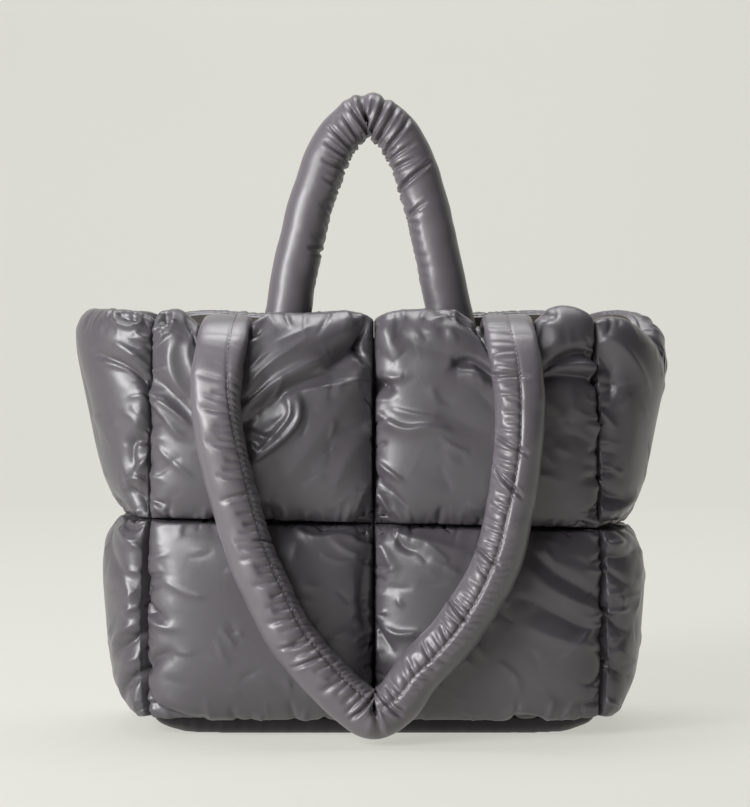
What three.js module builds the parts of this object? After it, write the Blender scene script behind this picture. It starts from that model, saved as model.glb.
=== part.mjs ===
// Puffer tote bag: stuffed squares quilted into a carrier bag, with two stuffed rope handles.
// Millimetres, +Z up. The origin is the middle of the base on the floor, and the front faces -Y.
// Left and right are as seen from the front.
import * as THREE from 'three';

// Bag body
const FRONT_WIDTH = 346;
const BODY_HEIGHT = 338;
const BASE_DEPTH = 130;
const RIM_DEPTH = 112;
const BASE_SEAM_HEIGHT = 16;
const WAIST_HEIGHT = 170;
const WAIST_TILT = 8;
const RIM_FLARE = 48;
const SEAM_GAP = 0.3;
const SEAM_THICKNESS = 3;

// How far the stuffed squares stand out of the seams, outwards and into the bag
const FRONT_BULGE = 36;
const UPPER_GUSSET_BULGE = 31;
const LOWER_GUSSET_BULGE = 42;
const BASE_BULGE = 21;
const LINING_BULGE = 12;
const BASE_LINING_BULGE = 9;

// How far from a seam a square still leans over towards its neighbour
const FRONT_LEAN_REACH = 45;
const GUSSET_LEAN_REACH = 32;
const BASE_LEAN_REACH = 45;
const BASE_LEAN = 0.08;
const BASE_END_LEAN_REACH = 12;

// Puckers that run out of the seams
const PUCKER_PITCH = 37;
const PUCKER_REACH = 16;
const PUCKER_DEPTH = 0.09;

// Rope handles
const HANDLE_DIAMETER = 38;
const FRONT_HANDLE_HALF_SPAN = 110;
const FRONT_HANDLE_OFFSET = -4;
const HANDLE_TIP_CLEARANCE = 5;
const HANDLE_FOLD_THICKNESS = 13;
const RIM_DIP_UNDER_HANDLE = 15;
const HANDLE_CLEARANCE = 2.6;
const HANDLE_SEAT_GAP = 1.5;
const BACK_HANDLE_RISE = 168;
const BACK_HANDLE_HALF_SPAN = 68;
const BACK_HANDLE_OFFSET = -4;
const BACK_HANDLE_RIM_ROOM = 1.6;
const GATHER_PITCH = 30;
const GATHER_DEPTH = 0.16;

// Shape of the stuffed squares: a high power is a flat crown, a low one after it a steep side
const CROWN_POWER = 3.4;
const CROWN_STEEPNESS = 0.42;
const FRONT_RIM_POWER = 4;
const FRONT_RIM_STEEPNESS = 0.5;
const GUSSET_RIM_POWER = 6;
const GUSSET_RIM_STEEPNESS = 0.45;
const BASE_END_POWER = 8;
const FLARE_POWER = 1.8;
const GUSSET_ROUNDNESS = 2;

// Mesh cells along one side of a square, and how strongly they crowd towards the seams
const FRONT_CELLS = 15;
const OTHER_CELLS = 11;
const BASE_CELLS_ACROSS = 16;
const BASE_CELLS_DEEP = 9;
const SEAM_CROWDING = 0.65;
const HANDLE_RINGS = 58;
const HANDLE_SIDES = 10;

// How strongly the rings of a handle crowd where it bends, in diameters, and how far a handle may
// pinch on the inside of a bend, as a share of the bend's radius
const RING_CROWDING = 1.18;
const BEND_PINCH = 0.78;

// Step in which a square is pressed back until a handle clears it
const PRESS_STEP = 0.25;

const FABRIC = { color: 0x716d72, roughness: 0.36, metalness: 0.0 };
const HANDLE_FABRIC = { color: 0x7d797e, roughness: 0.34, metalness: 0.0 };

// The four walls, counter-clockwise from above. Each is worked out as if it faced -Y, then turned.
const WALLS = {
  front: { turn: 0, gusset: false },
  right: { turn: Math.PI / 2, gusset: true },
  back: { turn: Math.PI, gusset: false },
  left: { turn: 1.5 * Math.PI, gusset: true },
};

// Waves of the rim: place and half-length as shares of half the wall, rise as a share of the height
const RIM_WAVES = [
  { wall: 'front', at: -0.87, spread: 0.09, rise: 0.018 },
  { wall: 'front', at: 0.89, spread: 0.1, rise: 0.022 },
  { wall: 'front', at: -0.33, spread: 0.16, rise: -0.01 },
  { wall: 'front', at: 0.55, spread: 0.06, rise: -0.02 },
  { wall: 'right', at: -0.22, spread: 0.42, rise: -0.085 },
  { wall: 'left', at: -0.5, spread: 0.16, rise: -0.012 },
  { wall: 'back', at: -0.4, spread: 0.3, rise: -0.01 },
  { wall: 'back', at: 0.45, spread: 0.25, rise: -0.012 },
];
const CORNER_DROP = 0.03;
const CORNER_DROP_POWER = 8;
const RIM_DIP_REACH = 0.86;
const RIM_DIP_POWER = 6;

// Folds pressed into the squares: ends as shares of the square's width and height, width as a share
// of its width, depth as a share of its bulge. A negative depth is a ridge.
const FOLDS = [
  { puff: 'front_puff_upper_left', from: [0.42, 0.57], to: [0.89, 0.71], width: 0.07, depth: 0.24 },
  { puff: 'front_puff_upper_left', from: [0.41, 0.64], to: [0.8, 0.84], width: 0.07, depth: -0.12 },
  { puff: 'front_puff_upper_left', from: [0.61, 0.6], to: [0.48, 0.33], width: 0.06, depth: -0.14 },
  { puff: 'front_puff_upper_left', from: [0.8, 0.76], to: [1, 0.86], width: 0.06, depth: 0.42 },
  { puff: 'front_puff_upper_left', from: [0.01, 0.665], to: [0.19, 0.52], width: 0.06, depth: 0.16 },
  { puff: 'front_puff_upper_left', from: [1, 0.55], to: [0.66, 0.2], width: 0.08, depth: 0.1 },
  { puff: 'front_puff_upper_right', from: [0.39, 0.79], to: [0.56, 0.75], width: 0.07, depth: 0.3 },
  { puff: 'front_puff_upper_right', from: [0.77, 0.77], to: [1, 0.83], width: 0.06, depth: 0.34 },
  { puff: 'front_puff_upper_right', from: [0.79, 0.73], to: [1, 0.68], width: 0.06, depth: 0.24 },
  { puff: 'front_puff_upper_right', from: [0, 0.7], to: [0.12, 0.7], width: 0.06, depth: 0.3 },
  { puff: 'front_puff_upper_right', from: [0.03, 0.6], to: [0.27, 0.5], width: 0.07, depth: -0.12 },
  { puff: 'front_puff_lower_left', from: [0.66, 0.97], to: [0.97, 0.78], width: 0.08, depth: 0.14 },
  { puff: 'front_puff_lower_left', from: [0.93, 0.7], to: [0.93, 0.25], width: 0.09, depth: 0.14 },
  { puff: 'front_puff_lower_left', from: [0.02, 0.2], to: [0.16, 0.34], width: 0.07, depth: 0.16 },
  { puff: 'front_puff_lower_right', from: [0.66, 0.25], to: [0.98, 0.5], width: 0.07, depth: 0.12 },
  { puff: 'front_puff_lower_right', from: [0.04, 0.55], to: [0.22, 0.42], width: 0.07, depth: -0.1 },
  { puff: 'front_puff_lower_right', from: [0.3, 1], to: [0.46, 0.8], width: 0.07, depth: 0.14 },
  { puff: 'left_gusset_puff_upper', from: [0.62, 0.83], to: [0.98, 0.62], width: 0.12, depth: 0.26 },
  { puff: 'left_gusset_puff_upper', from: [0.7, 0.1], to: [0.98, 0.3], width: 0.1, depth: 0.22 },
  { puff: 'left_gusset_puff_upper', from: [0.6, 1], to: [0.86, 0.95], width: 0.1, depth: 0.26 },
  { puff: 'left_gusset_puff_lower', from: [0.55, 0.85], to: [0.95, 0.95], width: 0.1, depth: 0.2 },
  { puff: 'left_gusset_puff_lower', from: [0.98, 0.35], to: [0.8, 0.1], width: 0.1, depth: 0.2 },
  { puff: 'right_gusset_puff_upper', from: [0.02, 0.55], to: [0.3, 0.62], width: 0.1, depth: 0.18 },
  { puff: 'right_gusset_puff_upper', from: [0.02, 0.2], to: [0.4, 0.12], width: 0.12, depth: 0.24 },
  { puff: 'right_gusset_puff_lower', from: [0.02, 0.9], to: [0.35, 0.82], width: 0.1, depth: 0.2 },
  { puff: 'right_gusset_puff_lower', from: [0.02, 0.3], to: [0.2, 0.15], width: 0.1, depth: 0.18 },
  { puff: 'back_puff_upper_left', from: [0.3, 0.6], to: [0.8, 0.75], width: 0.09, depth: 0.2 },
  { puff: 'back_puff_upper_right', from: [0.2, 0.72], to: [0.6, 0.5], width: 0.09, depth: 0.2 },
  { puff: 'back_puff_lower_left', from: [0.4, 0.95], to: [0.7, 0.6], width: 0.09, depth: 0.14 },
  { puff: 'back_puff_lower_right', from: [0.1, 0.4], to: [0.45, 0.6], width: 0.09, depth: 0.14 },
];

// Route of the front handle from the seam inside the rim to the tip of the V. Down is a share of the
// drop from the rim fold to the tip, left and right are shares of the half span, and out is a share of
// the way from the front seams to a handle lying on the squares. Negative is inside the bag.
const FRONT_HANDLE_ROUTE = [
  { down: 0.11, left: 1.03, right: 0.97, out: -0.3 },
  { down: 0.05, left: 1.03, right: 0.97, out: -0.28 },
  { down: 0.012, left: 1.03, right: 0.97, out: -0.19 },
  { down: 0, left: 1.04, right: 0.97, out: 0 },
  { down: 0.003, left: 1.04, right: 0.98, out: 0.22 },
  { down: 0.018, left: 1.05, right: 0.98, out: 0.46 },
  { down: 0.055, left: 1.06, right: 1.0, out: 0.71 },
  { down: 0.12, left: 1.09, right: 1.02, out: 0.88 },
  { down: 0.2, left: 1.11, right: 1.035, out: 0.93 },
  { down: 0.3, left: 1.08, right: 1.03, out: 0.93 },
  { down: 0.4, left: 1.01, right: 1.0, out: 0.92 },
  { down: 0.5, left: 0.93, right: 0.95, out: 0.9 },
  { down: 0.6, left: 0.84, right: 0.9, out: 0.92 },
  { down: 0.7, left: 0.71, right: 0.77, out: 0.95 },
  { down: 0.8, left: 0.56, right: 0.585, out: 0.97 },
  { down: 0.9, left: 0.32, right: 0.33, out: 0.97 },
  { down: 0.965, left: 0.125, right: 0.2, out: 0.96 },
];
const FRONT_HANDLE_TIP = { down: 1, left: -0.035, out: 0.96 };

// Route of the back handle. Rise is a share of the handle's rise over the rim, left and right are
// shares of its half span, and lean is a share of the standoff from the back seams that is used up.
const BACK_HANDLE_ROUTE = [
  { rise: -0.44, left: 1.2, right: 1.2, lean: -0.12 },
  { rise: -0.22, left: 1.14, right: 1.12, lean: 0.0 },
  { rise: 0, left: 1.0, right: 0.99, lean: 0.05 },
  { rise: 0.2, left: 0.92, right: 0.885, lean: 0.08 },
  { rise: 0.41, left: 0.805, right: 0.78, lean: 0.14 },
  { rise: 0.54, left: 0.725, right: 0.7, lean: 0.2 },
  { rise: 0.69, left: 0.6, right: 0.59, lean: 0.28 },
  { rise: 0.82, left: 0.476, right: 0.463, lean: 0.36 },
  { rise: 0.93, left: 0.27, right: 0.27, lean: 0.42 },
];
const BACK_HANDLE_APEX = { rise: 1, left: 0.04, lean: 0.46 };

// Section of the handles: half width and half thickness as shares of half the diameter, by the share
// of the way from either sewn end to the middle
const FRONT_HANDLE_SECTION = [
  { along: 0, wide: 1.16, thick: HANDLE_FOLD_THICKNESS / HANDLE_DIAMETER },
  { along: 0.2, wide: 1.2, thick: HANDLE_FOLD_THICKNESS / HANDLE_DIAMETER },
  { along: 0.32, wide: 1.06, thick: 0.86 },
  { along: 0.4, wide: 1.0, thick: 1.0 },
  { along: 1, wide: 1.0, thick: 1.0 },
];
const BACK_HANDLE_SECTION = [
  { along: 0, wide: 1.1, thick: 0.5 },
  { along: 0.25, wide: 1.02, thick: 0.92 },
  { along: 0.4, wide: 1.02, thick: 1.0 },
  { along: 0.8, wide: 1.0, thick: 1.0 },
  { along: 1, wide: 0.94, thick: 0.92 },
];

const UP = new THREE.Vector3(0, 0, 1);
const DOWN = new THREE.Vector3(0, 0, -1);

const lerp = THREE.MathUtils.lerp;
const clamp = THREE.MathUtils.clamp;

/** Share of the way from the base seam to the rim. */
function heightShare(z) {
  return clamp((z - BASE_SEAM_HEIGHT) / (BODY_HEIGHT - BASE_SEAM_HEIGHT), 0, 1);
}

/** Half the bag's depth between the front and back seams at height z. */
function halfDepth(z) {
  return lerp(BASE_DEPTH, RIM_DEPTH, heightShare(z)) / 2;
}

/** How far the middle of a side wall stands out beyond the corner seams at height z. */
function flare(z) {
  return RIM_FLARE * heightShare(z) ** FLARE_POWER;
}

/** Height of the cross seam at x: it falls from left to right. */
function waistHeight(x) {
  const side = clamp(x / (FRONT_WIDTH / 2), -1, 1);
  return WAIST_HEIGHT - (side * WAIST_TILT) / 2;
}

const rimFold = FRONT_HANDLE_ROUTE.find((row) => row.down === 0);

/** Places in x where the two legs of the front handle fold over the rim. */
const handleCrossings = [
  FRONT_HANDLE_OFFSET - rimFold.left * FRONT_HANDLE_HALF_SPAN,
  FRONT_HANDLE_OFFSET + rimFold.right * FRONT_HANDLE_HALF_SPAN,
];

/** Height of the rim of a wall at s, from -1 to 1 across it, with u the share across the square. */
function rimHeight(name, s, u) {
  let rim = BODY_HEIGHT;
  for (const wave of RIM_WAVES) {
    if (wave.wall === name) {
      rim += wave.rise * BODY_HEIGHT * Math.exp(-(((s - wave.at) / wave.spread) ** 2));
    }
  }
  rim -= CORNER_DROP * BODY_HEIGHT * Math.abs(2 * u - 1) ** CORNER_DROP_POWER;
  if (name === 'front') {
    for (const crossing of handleCrossings) {
      const away = ((s * FRONT_WIDTH) / 2 - crossing) / (RIM_DIP_REACH * HANDLE_DIAMETER);
      rim = lerp(rim, BODY_HEIGHT - RIM_DIP_UNDER_HANDLE, Math.exp(-(away ** RIM_DIP_POWER)));
    }
  }
  return rim;
}

/** Sizes of a wall at height z, as if it faced -Y. */
function wallSizes(wall, z) {
  const depth = halfDepth(z);
  if (wall.gusset) {
    return { half: depth, stand: FRONT_WIDTH / 2, crown: flare(z) };
  }
  return { half: FRONT_WIDTH / 2, stand: depth, crown: 0 };
}

/** Unit vector square to a wall in plan at s. */
function planNormal(half, crown, s) {
  const slope = crown * GUSSET_ROUNDNESS * Math.abs(s) ** (GUSSET_ROUNDNESS - 1) * Math.sign(s);
  return new THREE.Vector3(slope, -half, 0).normalize();
}

/** How strongly a square leans over at a distance from its seam: 1 at the seam, 0 past the reach. */
function leanWeight(distance, reach) {
  return Math.max(0, 1 - distance / reach) ** 2;
}

/** Point of the seam surface of a wall, and the direction in which its filling stands out. */
function wallFrame(wall, s, z) {
  const { half, stand, crown } = wallSizes(wall, z);
  const point = new THREE.Vector3(s * half, -(stand + crown * (1 - Math.abs(s) ** GUSSET_ROUNDNESS)), z);
  const out = planNormal(half, crown, s);
  const side = Math.sign(s);
  const neighbour = new THREE.Vector3(side, 0, 0);
  if (!wall.gusset) {
    const next = planNormal(halfDepth(z), flare(z), 1);
    neighbour.set(-side * next.y, -next.x, 0);
  }
  const reach = wall.gusset ? GUSSET_LEAN_REACH : FRONT_LEAN_REACH;
  out.addScaledVector(neighbour, leanWeight(half * (1 - Math.abs(s)), reach)).normalize();
  out.addScaledVector(DOWN, BASE_LEAN * leanWeight(z - BASE_SEAM_HEIGHT, BASE_LEAN_REACH)).normalize();
  point.applyAxisAngle(UP, wall.turn);
  out.applyAxisAngle(UP, wall.turn);
  return { point, out };
}

/** Stuffed profile over t from 0 to 1: steep at both seams and nearly flat between them. */
function crown(t, power = CROWN_POWER, steepness = CROWN_STEEPNESS) {
  return Math.max(0, 1 - Math.abs(2 * t - 1) ** power) ** steepness;
}

/** Distance in millimetres from (x, y) to the segment from a to b. */
function segmentDistance(x, y, a, b) {
  const along = new THREE.Vector2(b[0] - a[0], b[1] - a[1]);
  const offset = new THREE.Vector2(x - a[0], y - a[1]);
  const share = clamp(offset.dot(along) / along.lengthSq(), 0, 1);
  return offset.addScaledVector(along, -share).length();
}

/** Share of the bulge that is left at (u, v) of a square after its folds. */
function foldShare(name, u, v, width, height) {
  let share = 1;
  for (const fold of FOLDS) {
    if (fold.puff === name) {
      const from = [fold.from[0] * width, fold.from[1] * height];
      const to = [fold.to[0] * width, fold.to[1] * height];
      const distance = segmentDistance(u * width, v * height, from, to);
      share -= fold.depth * Math.exp(-((distance / (fold.width * width)) ** 2));
    }
  }
  return share;
}

/** Puckers along the four seams of a square, as a share of the bulge to add or take away. */
function puckerShare(u, v, width, height, phase) {
  const wave = (along, turn) => Math.cos((2 * Math.PI * along) / PUCKER_PITCH + turn);
  const near = (distance) => Math.exp(-distance / PUCKER_REACH);
  let share = near(u * width) * wave(v * height, phase);
  share += near((1 - u) * width) * wave(v * height, phase + 2);
  share += near(v * height) * wave(u * width, phase + 4);
  share += near((1 - v) * height) * wave(u * width, phase + 5);
  return PUCKER_DEPTH * share;
}

/** Places of the mesh lines from 0 to 1, crowded towards both ends. */
function meshLines(cells) {
  return Array.from({ length: cells + 1 }, (_, i) => {
    const t = i / cells;
    return lerp(t, (1 - Math.cos(Math.PI * t)) / 2, SEAM_CROWDING);
  });
}

/** Geometry from a flat list of points and a list of corner numbers. */
function meshOf(points, corners) {
  const geometry = new THREE.BufferGeometry();
  const numbers = points.flatMap((point) => point.toArray());
  geometry.setAttribute('position', new THREE.Float32BufferAttribute(numbers, 3));
  geometry.setIndex(corners);
  geometry.computeVertexNormals();
  return geometry;
}

/** Closed body between two grids of points: outer[i][j] faces out and inner[i][j] lies behind it. */
function closedPad(outer, inner) {
  const across = outer.length - 1;
  const high = outer[0].length - 1;
  const points = [...outer.flat(), ...inner.flat()];
  const front = (i, j) => i * (high + 1) + j;
  const rear = (i, j) => front(i, j) + (across + 1) * (high + 1);
  const corners = [];
  const quad = (a, b, c, d) => corners.push(a, b, c, a, c, d);
  for (let i = 0; i < across; i += 1) {
    for (let j = 0; j < high; j += 1) {
      quad(front(i, j), front(i + 1, j), front(i + 1, j + 1), front(i, j + 1));
      quad(rear(i, j), rear(i, j + 1), rear(i + 1, j + 1), rear(i + 1, j));
    }
    quad(front(i, 0), rear(i, 0), rear(i + 1, 0), front(i + 1, 0));
    quad(front(i, high), front(i + 1, high), rear(i + 1, high), rear(i, high));
  }
  for (let j = 0; j < high; j += 1) {
    quad(front(0, j), front(0, j + 1), rear(0, j + 1), rear(0, j));
    quad(front(across, j), rear(across, j), rear(across, j + 1), front(across, j + 1));
  }
  return meshOf(points, corners);
}

/** Finely spaced stations along a handle: place, directions, distance along and curvature. */
function handleStations(route, count) {
  const curve = new THREE.CatmullRomCurve3(route, false, 'centripetal');
  const places = curve.getSpacedPoints(count);
  const step = curve.getLength() / count;
  const tangents = places.map((_, i) => {
    const before = places[Math.max(0, i - 1)];
    const after = places[Math.min(count, i + 1)];
    return after.clone().sub(before).normalize();
  });
  const side = new THREE.Vector3(1, 0, 0);
  return places.map((place, i) => {
    side.addScaledVector(tangents[i], -side.dot(tangents[i])).normalize();
    const bend = tangents[Math.min(count, i + 1)].clone().sub(tangents[Math.max(0, i - 1)]);
    return {
      place,
      side: side.clone(),
      face: tangents[i].clone().cross(side),
      along: i / count,
      length: i * step,
      bend: bend.length() / (2 * step),
      inward: bend.dot(side) / (2 * step),
    };
  });
}

/** Half width and half thickness of a handle at a share of its length. */
function handleSection(table, along) {
  const share = 1 - Math.abs(2 * along - 1);
  const next = Math.max(1, table.findIndex((row) => row.along >= share));
  const [a, b] = [table[next - 1], table[next]];
  const blend = THREE.MathUtils.smoothstep(share, a.along, b.along);
  const radius = HANDLE_DIAMETER / 2;
  return { wide: lerp(a.wide, b.wide, blend) * radius, thick: lerp(a.thick, b.thick, blend) * radius };
}

/** Stations for the rings of a handle, closer together where it bends. */
function ringStations(stations) {
  const weights = stations.map((station) => 1 + RING_CROWDING * HANDLE_DIAMETER * station.bend);
  const totals = [];
  weights.reduce((sum, weight) => {
    totals.push(sum);
    return sum + weight;
  }, 0);
  const end = totals[totals.length - 1];
  return Array.from({ length: HANDLE_RINGS }, (_, i) => {
    const wanted = (end * i) / (HANDLE_RINGS - 1);
    return stations[totals.findIndex((total) => total >= wanted - 1e-6)];
  });
}

/** Closed tube of a stuffed handle, gathered on its inner side and pinched where it turns sharply. */
function handleGeometry(stations, table) {
  const rings = ringStations(stations);
  const points = [];
  for (const station of rings) {
    const { wide, thick } = handleSection(table, station.along);
    const gather = (1 - Math.cos((2 * Math.PI * station.length) / GATHER_PITCH)) / 2;
    const room = BEND_PINCH / Math.max(1e-6, station.inward);
    for (let k = 0; k < HANDLE_SIDES; k += 1) {
      const angle = (2 * Math.PI * k) / HANDLE_SIDES;
      const inner = Math.max(0, Math.cos(angle));
      const shrink = 1 - GATHER_DEPTH * gather * inner;
      const reach = inner > 0 ? Math.min(wide * shrink, room) : wide;
      const point = station.place.clone();
      point.addScaledVector(station.side, reach * Math.cos(angle));
      point.addScaledVector(station.face, thick * (1 - (GATHER_DEPTH / 3) * gather) * Math.sin(angle));
      points.push(point);
    }
  }
  const corners = [];
  const last = rings.length - 1;
  const at = (i, k) => i * HANDLE_SIDES + (k % HANDLE_SIDES);
  const startCap = points.push(rings[0].place.clone()) - 1;
  const endCap = points.push(rings[last].place.clone()) - 1;
  for (let k = 0; k < HANDLE_SIDES; k += 1) {
    for (let i = 0; i < last; i += 1) {
      corners.push(at(i, k), at(i, k + 1), at(i + 1, k + 1));
      corners.push(at(i, k), at(i + 1, k + 1), at(i + 1, k));
    }
    corners.push(startCap, at(0, k + 1), at(0, k));
    corners.push(endCap, at(last, k), at(last, k + 1));
  }
  return meshOf(points, corners);
}

/** Route of the front handle: down the left leg, round the tip and up the right leg. */
function frontHandleRoute() {
  const top = BODY_HEIGHT - RIM_DIP_UNDER_HANDLE + HANDLE_FOLD_THICKNESS / 2 + HANDLE_SEAT_GAP;
  const drop = top - HANDLE_TIP_CLEARANCE - HANDLE_DIAMETER / 2;
  const reach = FRONT_BULGE + HANDLE_DIAMETER / 2;
  const at = (x, row) => {
    const z = top - row.down * drop;
    return new THREE.Vector3(x, -(halfDepth(z) + row.out * reach), z);
  };
  const leg = (side) => FRONT_HANDLE_ROUTE.map((row) => {
    const share = side < 0 ? row.left : row.right;
    return at(FRONT_HANDLE_OFFSET + side * share * FRONT_HANDLE_HALF_SPAN, row);
  });
  const tipX = FRONT_HANDLE_OFFSET - FRONT_HANDLE_TIP.left * FRONT_HANDLE_HALF_SPAN;
  return [...leg(-1), at(tipX, FRONT_HANDLE_TIP), ...leg(1).reverse()];
}

/** Route of the back handle: up the left leg, over the apex and down the right leg. */
function backHandleRoute() {
  const standoff = SEAM_THICKNESS / 2 + HANDLE_DIAMETER / 2 + BACK_HANDLE_RIM_ROOM;
  const at = (x, row) => {
    const z = BODY_HEIGHT + row.rise * BACK_HANDLE_RISE;
    return new THREE.Vector3(x, RIM_DEPTH / 2 - standoff * (1 - row.lean), z);
  };
  const leg = (side) => BACK_HANDLE_ROUTE.map((row) => {
    const share = side < 0 ? row.left : row.right;
    return at(BACK_HANDLE_OFFSET + side * share * BACK_HANDLE_HALF_SPAN, row);
  });
  const apexX = BACK_HANDLE_OFFSET - BACK_HANDLE_APEX.left * BACK_HANDLE_HALF_SPAN;
  return [...leg(-1), at(apexX, BACK_HANDLE_APEX), ...leg(1).reverse()];
}

const STATIONS = 420;
const frontStations = handleStations(frontHandleRoute(), STATIONS);
const backStations = handleStations(backHandleRoute(), STATIONS);

/** Whether a point lies in a handle grown by the clearance. */
function touchesHandle(point, stations, table) {
  let nearest = stations[0];
  let best = Infinity;
  for (const station of stations) {
    const distance = station.place.distanceToSquared(point);
    if (distance < best) {
      best = distance;
      nearest = station;
    }
  }
  const { wide, thick } = handleSection(table, nearest.along);
  const offset = point.clone().sub(nearest.place);
  const across = offset.dot(nearest.side) / (wide + HANDLE_CLEARANCE);
  const through = offset.dot(nearest.face) / (thick + HANDLE_CLEARANCE);
  return across ** 2 + through ** 2 < 1;
}

/** Presses a point of a square back along its filling until the front handle clears it. */
function pressClear(point, out, room) {
  for (let pressed = 0; pressed < room; pressed += PRESS_STEP) {
    if (!touchesHandle(point, frontStations, FRONT_HANDLE_SECTION)) {
      return point;
    }
    point.addScaledVector(out, -PRESS_STEP);
  }
  return point;
}

/** Stuffed square of a wall. Column picks the left or right square, or the whole width. */
function puffGeometry(spec) {
  const wall = WALLS[spec.wall];
  const spread = { left: [-1, 0], right: [0, 1], whole: [-1, 1] }[spec.column];
  const upper = spec.row === 'upper';
  const lines = meshLines(spec.cells);
  const height = upper ? BODY_HEIGHT - WAIST_HEIGHT : WAIST_HEIGHT - BASE_SEAM_HEIGHT;
  const outer = [];
  const inner = [];
  for (const u of lines) {
    const outerColumn = [];
    const innerColumn = [];
    for (const v of lines) {
      const { half } = wallSizes(wall, upper ? WAIST_HEIGHT : BASE_SEAM_HEIGHT);
      const width = half * (spread[1] - spread[0]);
      const cornerInset = (SEAM_GAP * Math.SQRT1_2) / half;
      const middleInset = SEAM_GAP / 2 / half;
      const low = spread[0] + (spread[0] === -1 ? cornerInset : middleInset);
      const high = spread[1] - (spread[1] === 1 ? cornerInset : middleInset);
      const s = lerp(low, high, u);
      const plan = wallFrame(wall, s, WAIST_HEIGHT).point;
      const floorSeam = BASE_SEAM_HEIGHT + SEAM_GAP * Math.SQRT1_2;
      const bottom = upper ? waistHeight(plan.x) + SEAM_GAP / 2 : floorSeam;
      const top = upper ? rimHeight(spec.wall, s, u) : waistHeight(plan.x) - SEAM_GAP / 2;
      const { point, out } = wallFrame(wall, s, lerp(bottom, top, v));
      const rimSide = upper && v > 0.5;
      const rimPower = wall.gusset ? GUSSET_RIM_POWER : FRONT_RIM_POWER;
      const rimSteepness = wall.gusset ? GUSSET_RIM_STEEPNESS : FRONT_RIM_STEEPNESS;
      const rise = rimSide ? crown(v, rimPower, rimSteepness) : crown(v);
      const folds = foldShare(spec.name, u, v, width, height);
      const shape = folds + puckerShare(u, v, width, height, spec.phase);
      const bulge = SEAM_THICKNESS / 2 + spec.bulge * crown(u) * rise * shape;
      const hollow = SEAM_THICKNESS / 2 + LINING_BULGE * 16 * u * (1 - u) * v * (1 - v);
      const skin = point.clone().addScaledVector(out, bulge);
      outerColumn.push(spec.wall === 'front' ? pressClear(skin, out, bulge) : skin);
      innerColumn.push(point.clone().addScaledVector(out, -hollow));
    }
    outer.push(outerColumn);
    inner.push(innerColumn);
  }
  return closedPad(outer, inner);
}

/** Padded base: its long edges swell out under the squares and its underside is flat on the floor. */
function baseGeometry() {
  const outer = [];
  const inner = [];
  for (const u of meshLines(BASE_CELLS_ACROSS)) {
    const outerColumn = [];
    const innerColumn = [];
    for (const v of meshLines(BASE_CELLS_DEEP)) {
      const halfWidth = FRONT_WIDTH / 2 - SEAM_GAP * Math.SQRT1_2;
      const halfLength = BASE_DEPTH / 2 - SEAM_GAP * Math.SQRT1_2;
      const x = lerp(-halfWidth, halfWidth, u);
      const y = lerp(halfLength, -halfLength, v);
      const point = new THREE.Vector3(x, y, BASE_SEAM_HEIGHT);
      const sideways = leanWeight(halfWidth - Math.abs(point.x), BASE_END_LEAN_REACH);
      const endways = leanWeight(halfLength - Math.abs(point.y), GUSSET_LEAN_REACH);
      const lean = new THREE.Vector3(Math.sign(point.x) * sideways, Math.sign(point.y) * endways, 0);
      const edge = Math.max(sideways, endways);
      lean.setLength(edge);
      const out = DOWN.clone().multiplyScalar(lerp(1, BASE_LEAN, edge)).add(lean).normalize();
      const bulge = SEAM_THICKNESS / 2 + BASE_BULGE * crown(u, BASE_END_POWER) * crown(v);
      const hollow = SEAM_THICKNESS / 2 + BASE_LINING_BULGE * 16 * u * (1 - u) * v * (1 - v);
      const skin = point.clone().addScaledVector(out, bulge);
      skin.z = Math.max(0, skin.z);
      outerColumn.push(skin);
      innerColumn.push(point.clone().addScaledVector(out, -hollow));
    }
    outer.push(outerColumn);
    inner.push(innerColumn);
  }
  return closedPad(outer, inner);
}

/** The twelve stuffed squares of the walls, with their names, places and bulges. */
function puffSpecs() {
  const specs = [];
  for (const row of ['upper', 'lower']) {
    for (const wall of ['front', 'back']) {
      for (const column of ['left', 'right']) {
        const name = `${wall}_puff_${row}_${column}`;
        const cells = wall === 'front' ? FRONT_CELLS : OTHER_CELLS;
        const side = wall === 'front' ? column : { left: 'right', right: 'left' }[column];
        specs.push({ name, wall, row, column: side, cells, bulge: FRONT_BULGE });
      }
    }
    for (const wall of ['left', 'right']) {
      const bulge = row === 'upper' ? UPPER_GUSSET_BULGE : LOWER_GUSSET_BULGE;
      const name = `${wall}_gusset_puff_${row}`;
      specs.push({ name, wall, row, column: 'whole', cells: OTHER_CELLS, bulge });
    }
  }
  return specs.map((spec, phase) => ({ ...spec, phase }));
}

/** Named mesh with its own fabric. */
function piece(name, geometry, finish) {
  const mesh = new THREE.Mesh(geometry, new THREE.MeshStandardMaterial(finish));
  mesh.name = name;
  return mesh;
}

const group = new THREE.Group();
group.name = 'puffer_tote_bag';
for (const spec of puffSpecs()) {
  group.add(piece(spec.name, puffGeometry(spec), FABRIC));
}
group.add(piece('base_puff', baseGeometry(), FABRIC));
group.add(piece('front_handle', handleGeometry(frontStations, FRONT_HANDLE_SECTION), HANDLE_FABRIC));
group.add(piece('back_handle', handleGeometry(backStations, BACK_HANDLE_SECTION), HANDLE_FABRIC));

export default group;
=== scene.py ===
"""Looks of the puffer tote bag: relaxed nylon squares, gathered rope handles, base, stitches and studio."""
import logging
import math
from collections.abc import Callable
from dataclasses import dataclass
from enum import Enum

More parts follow.
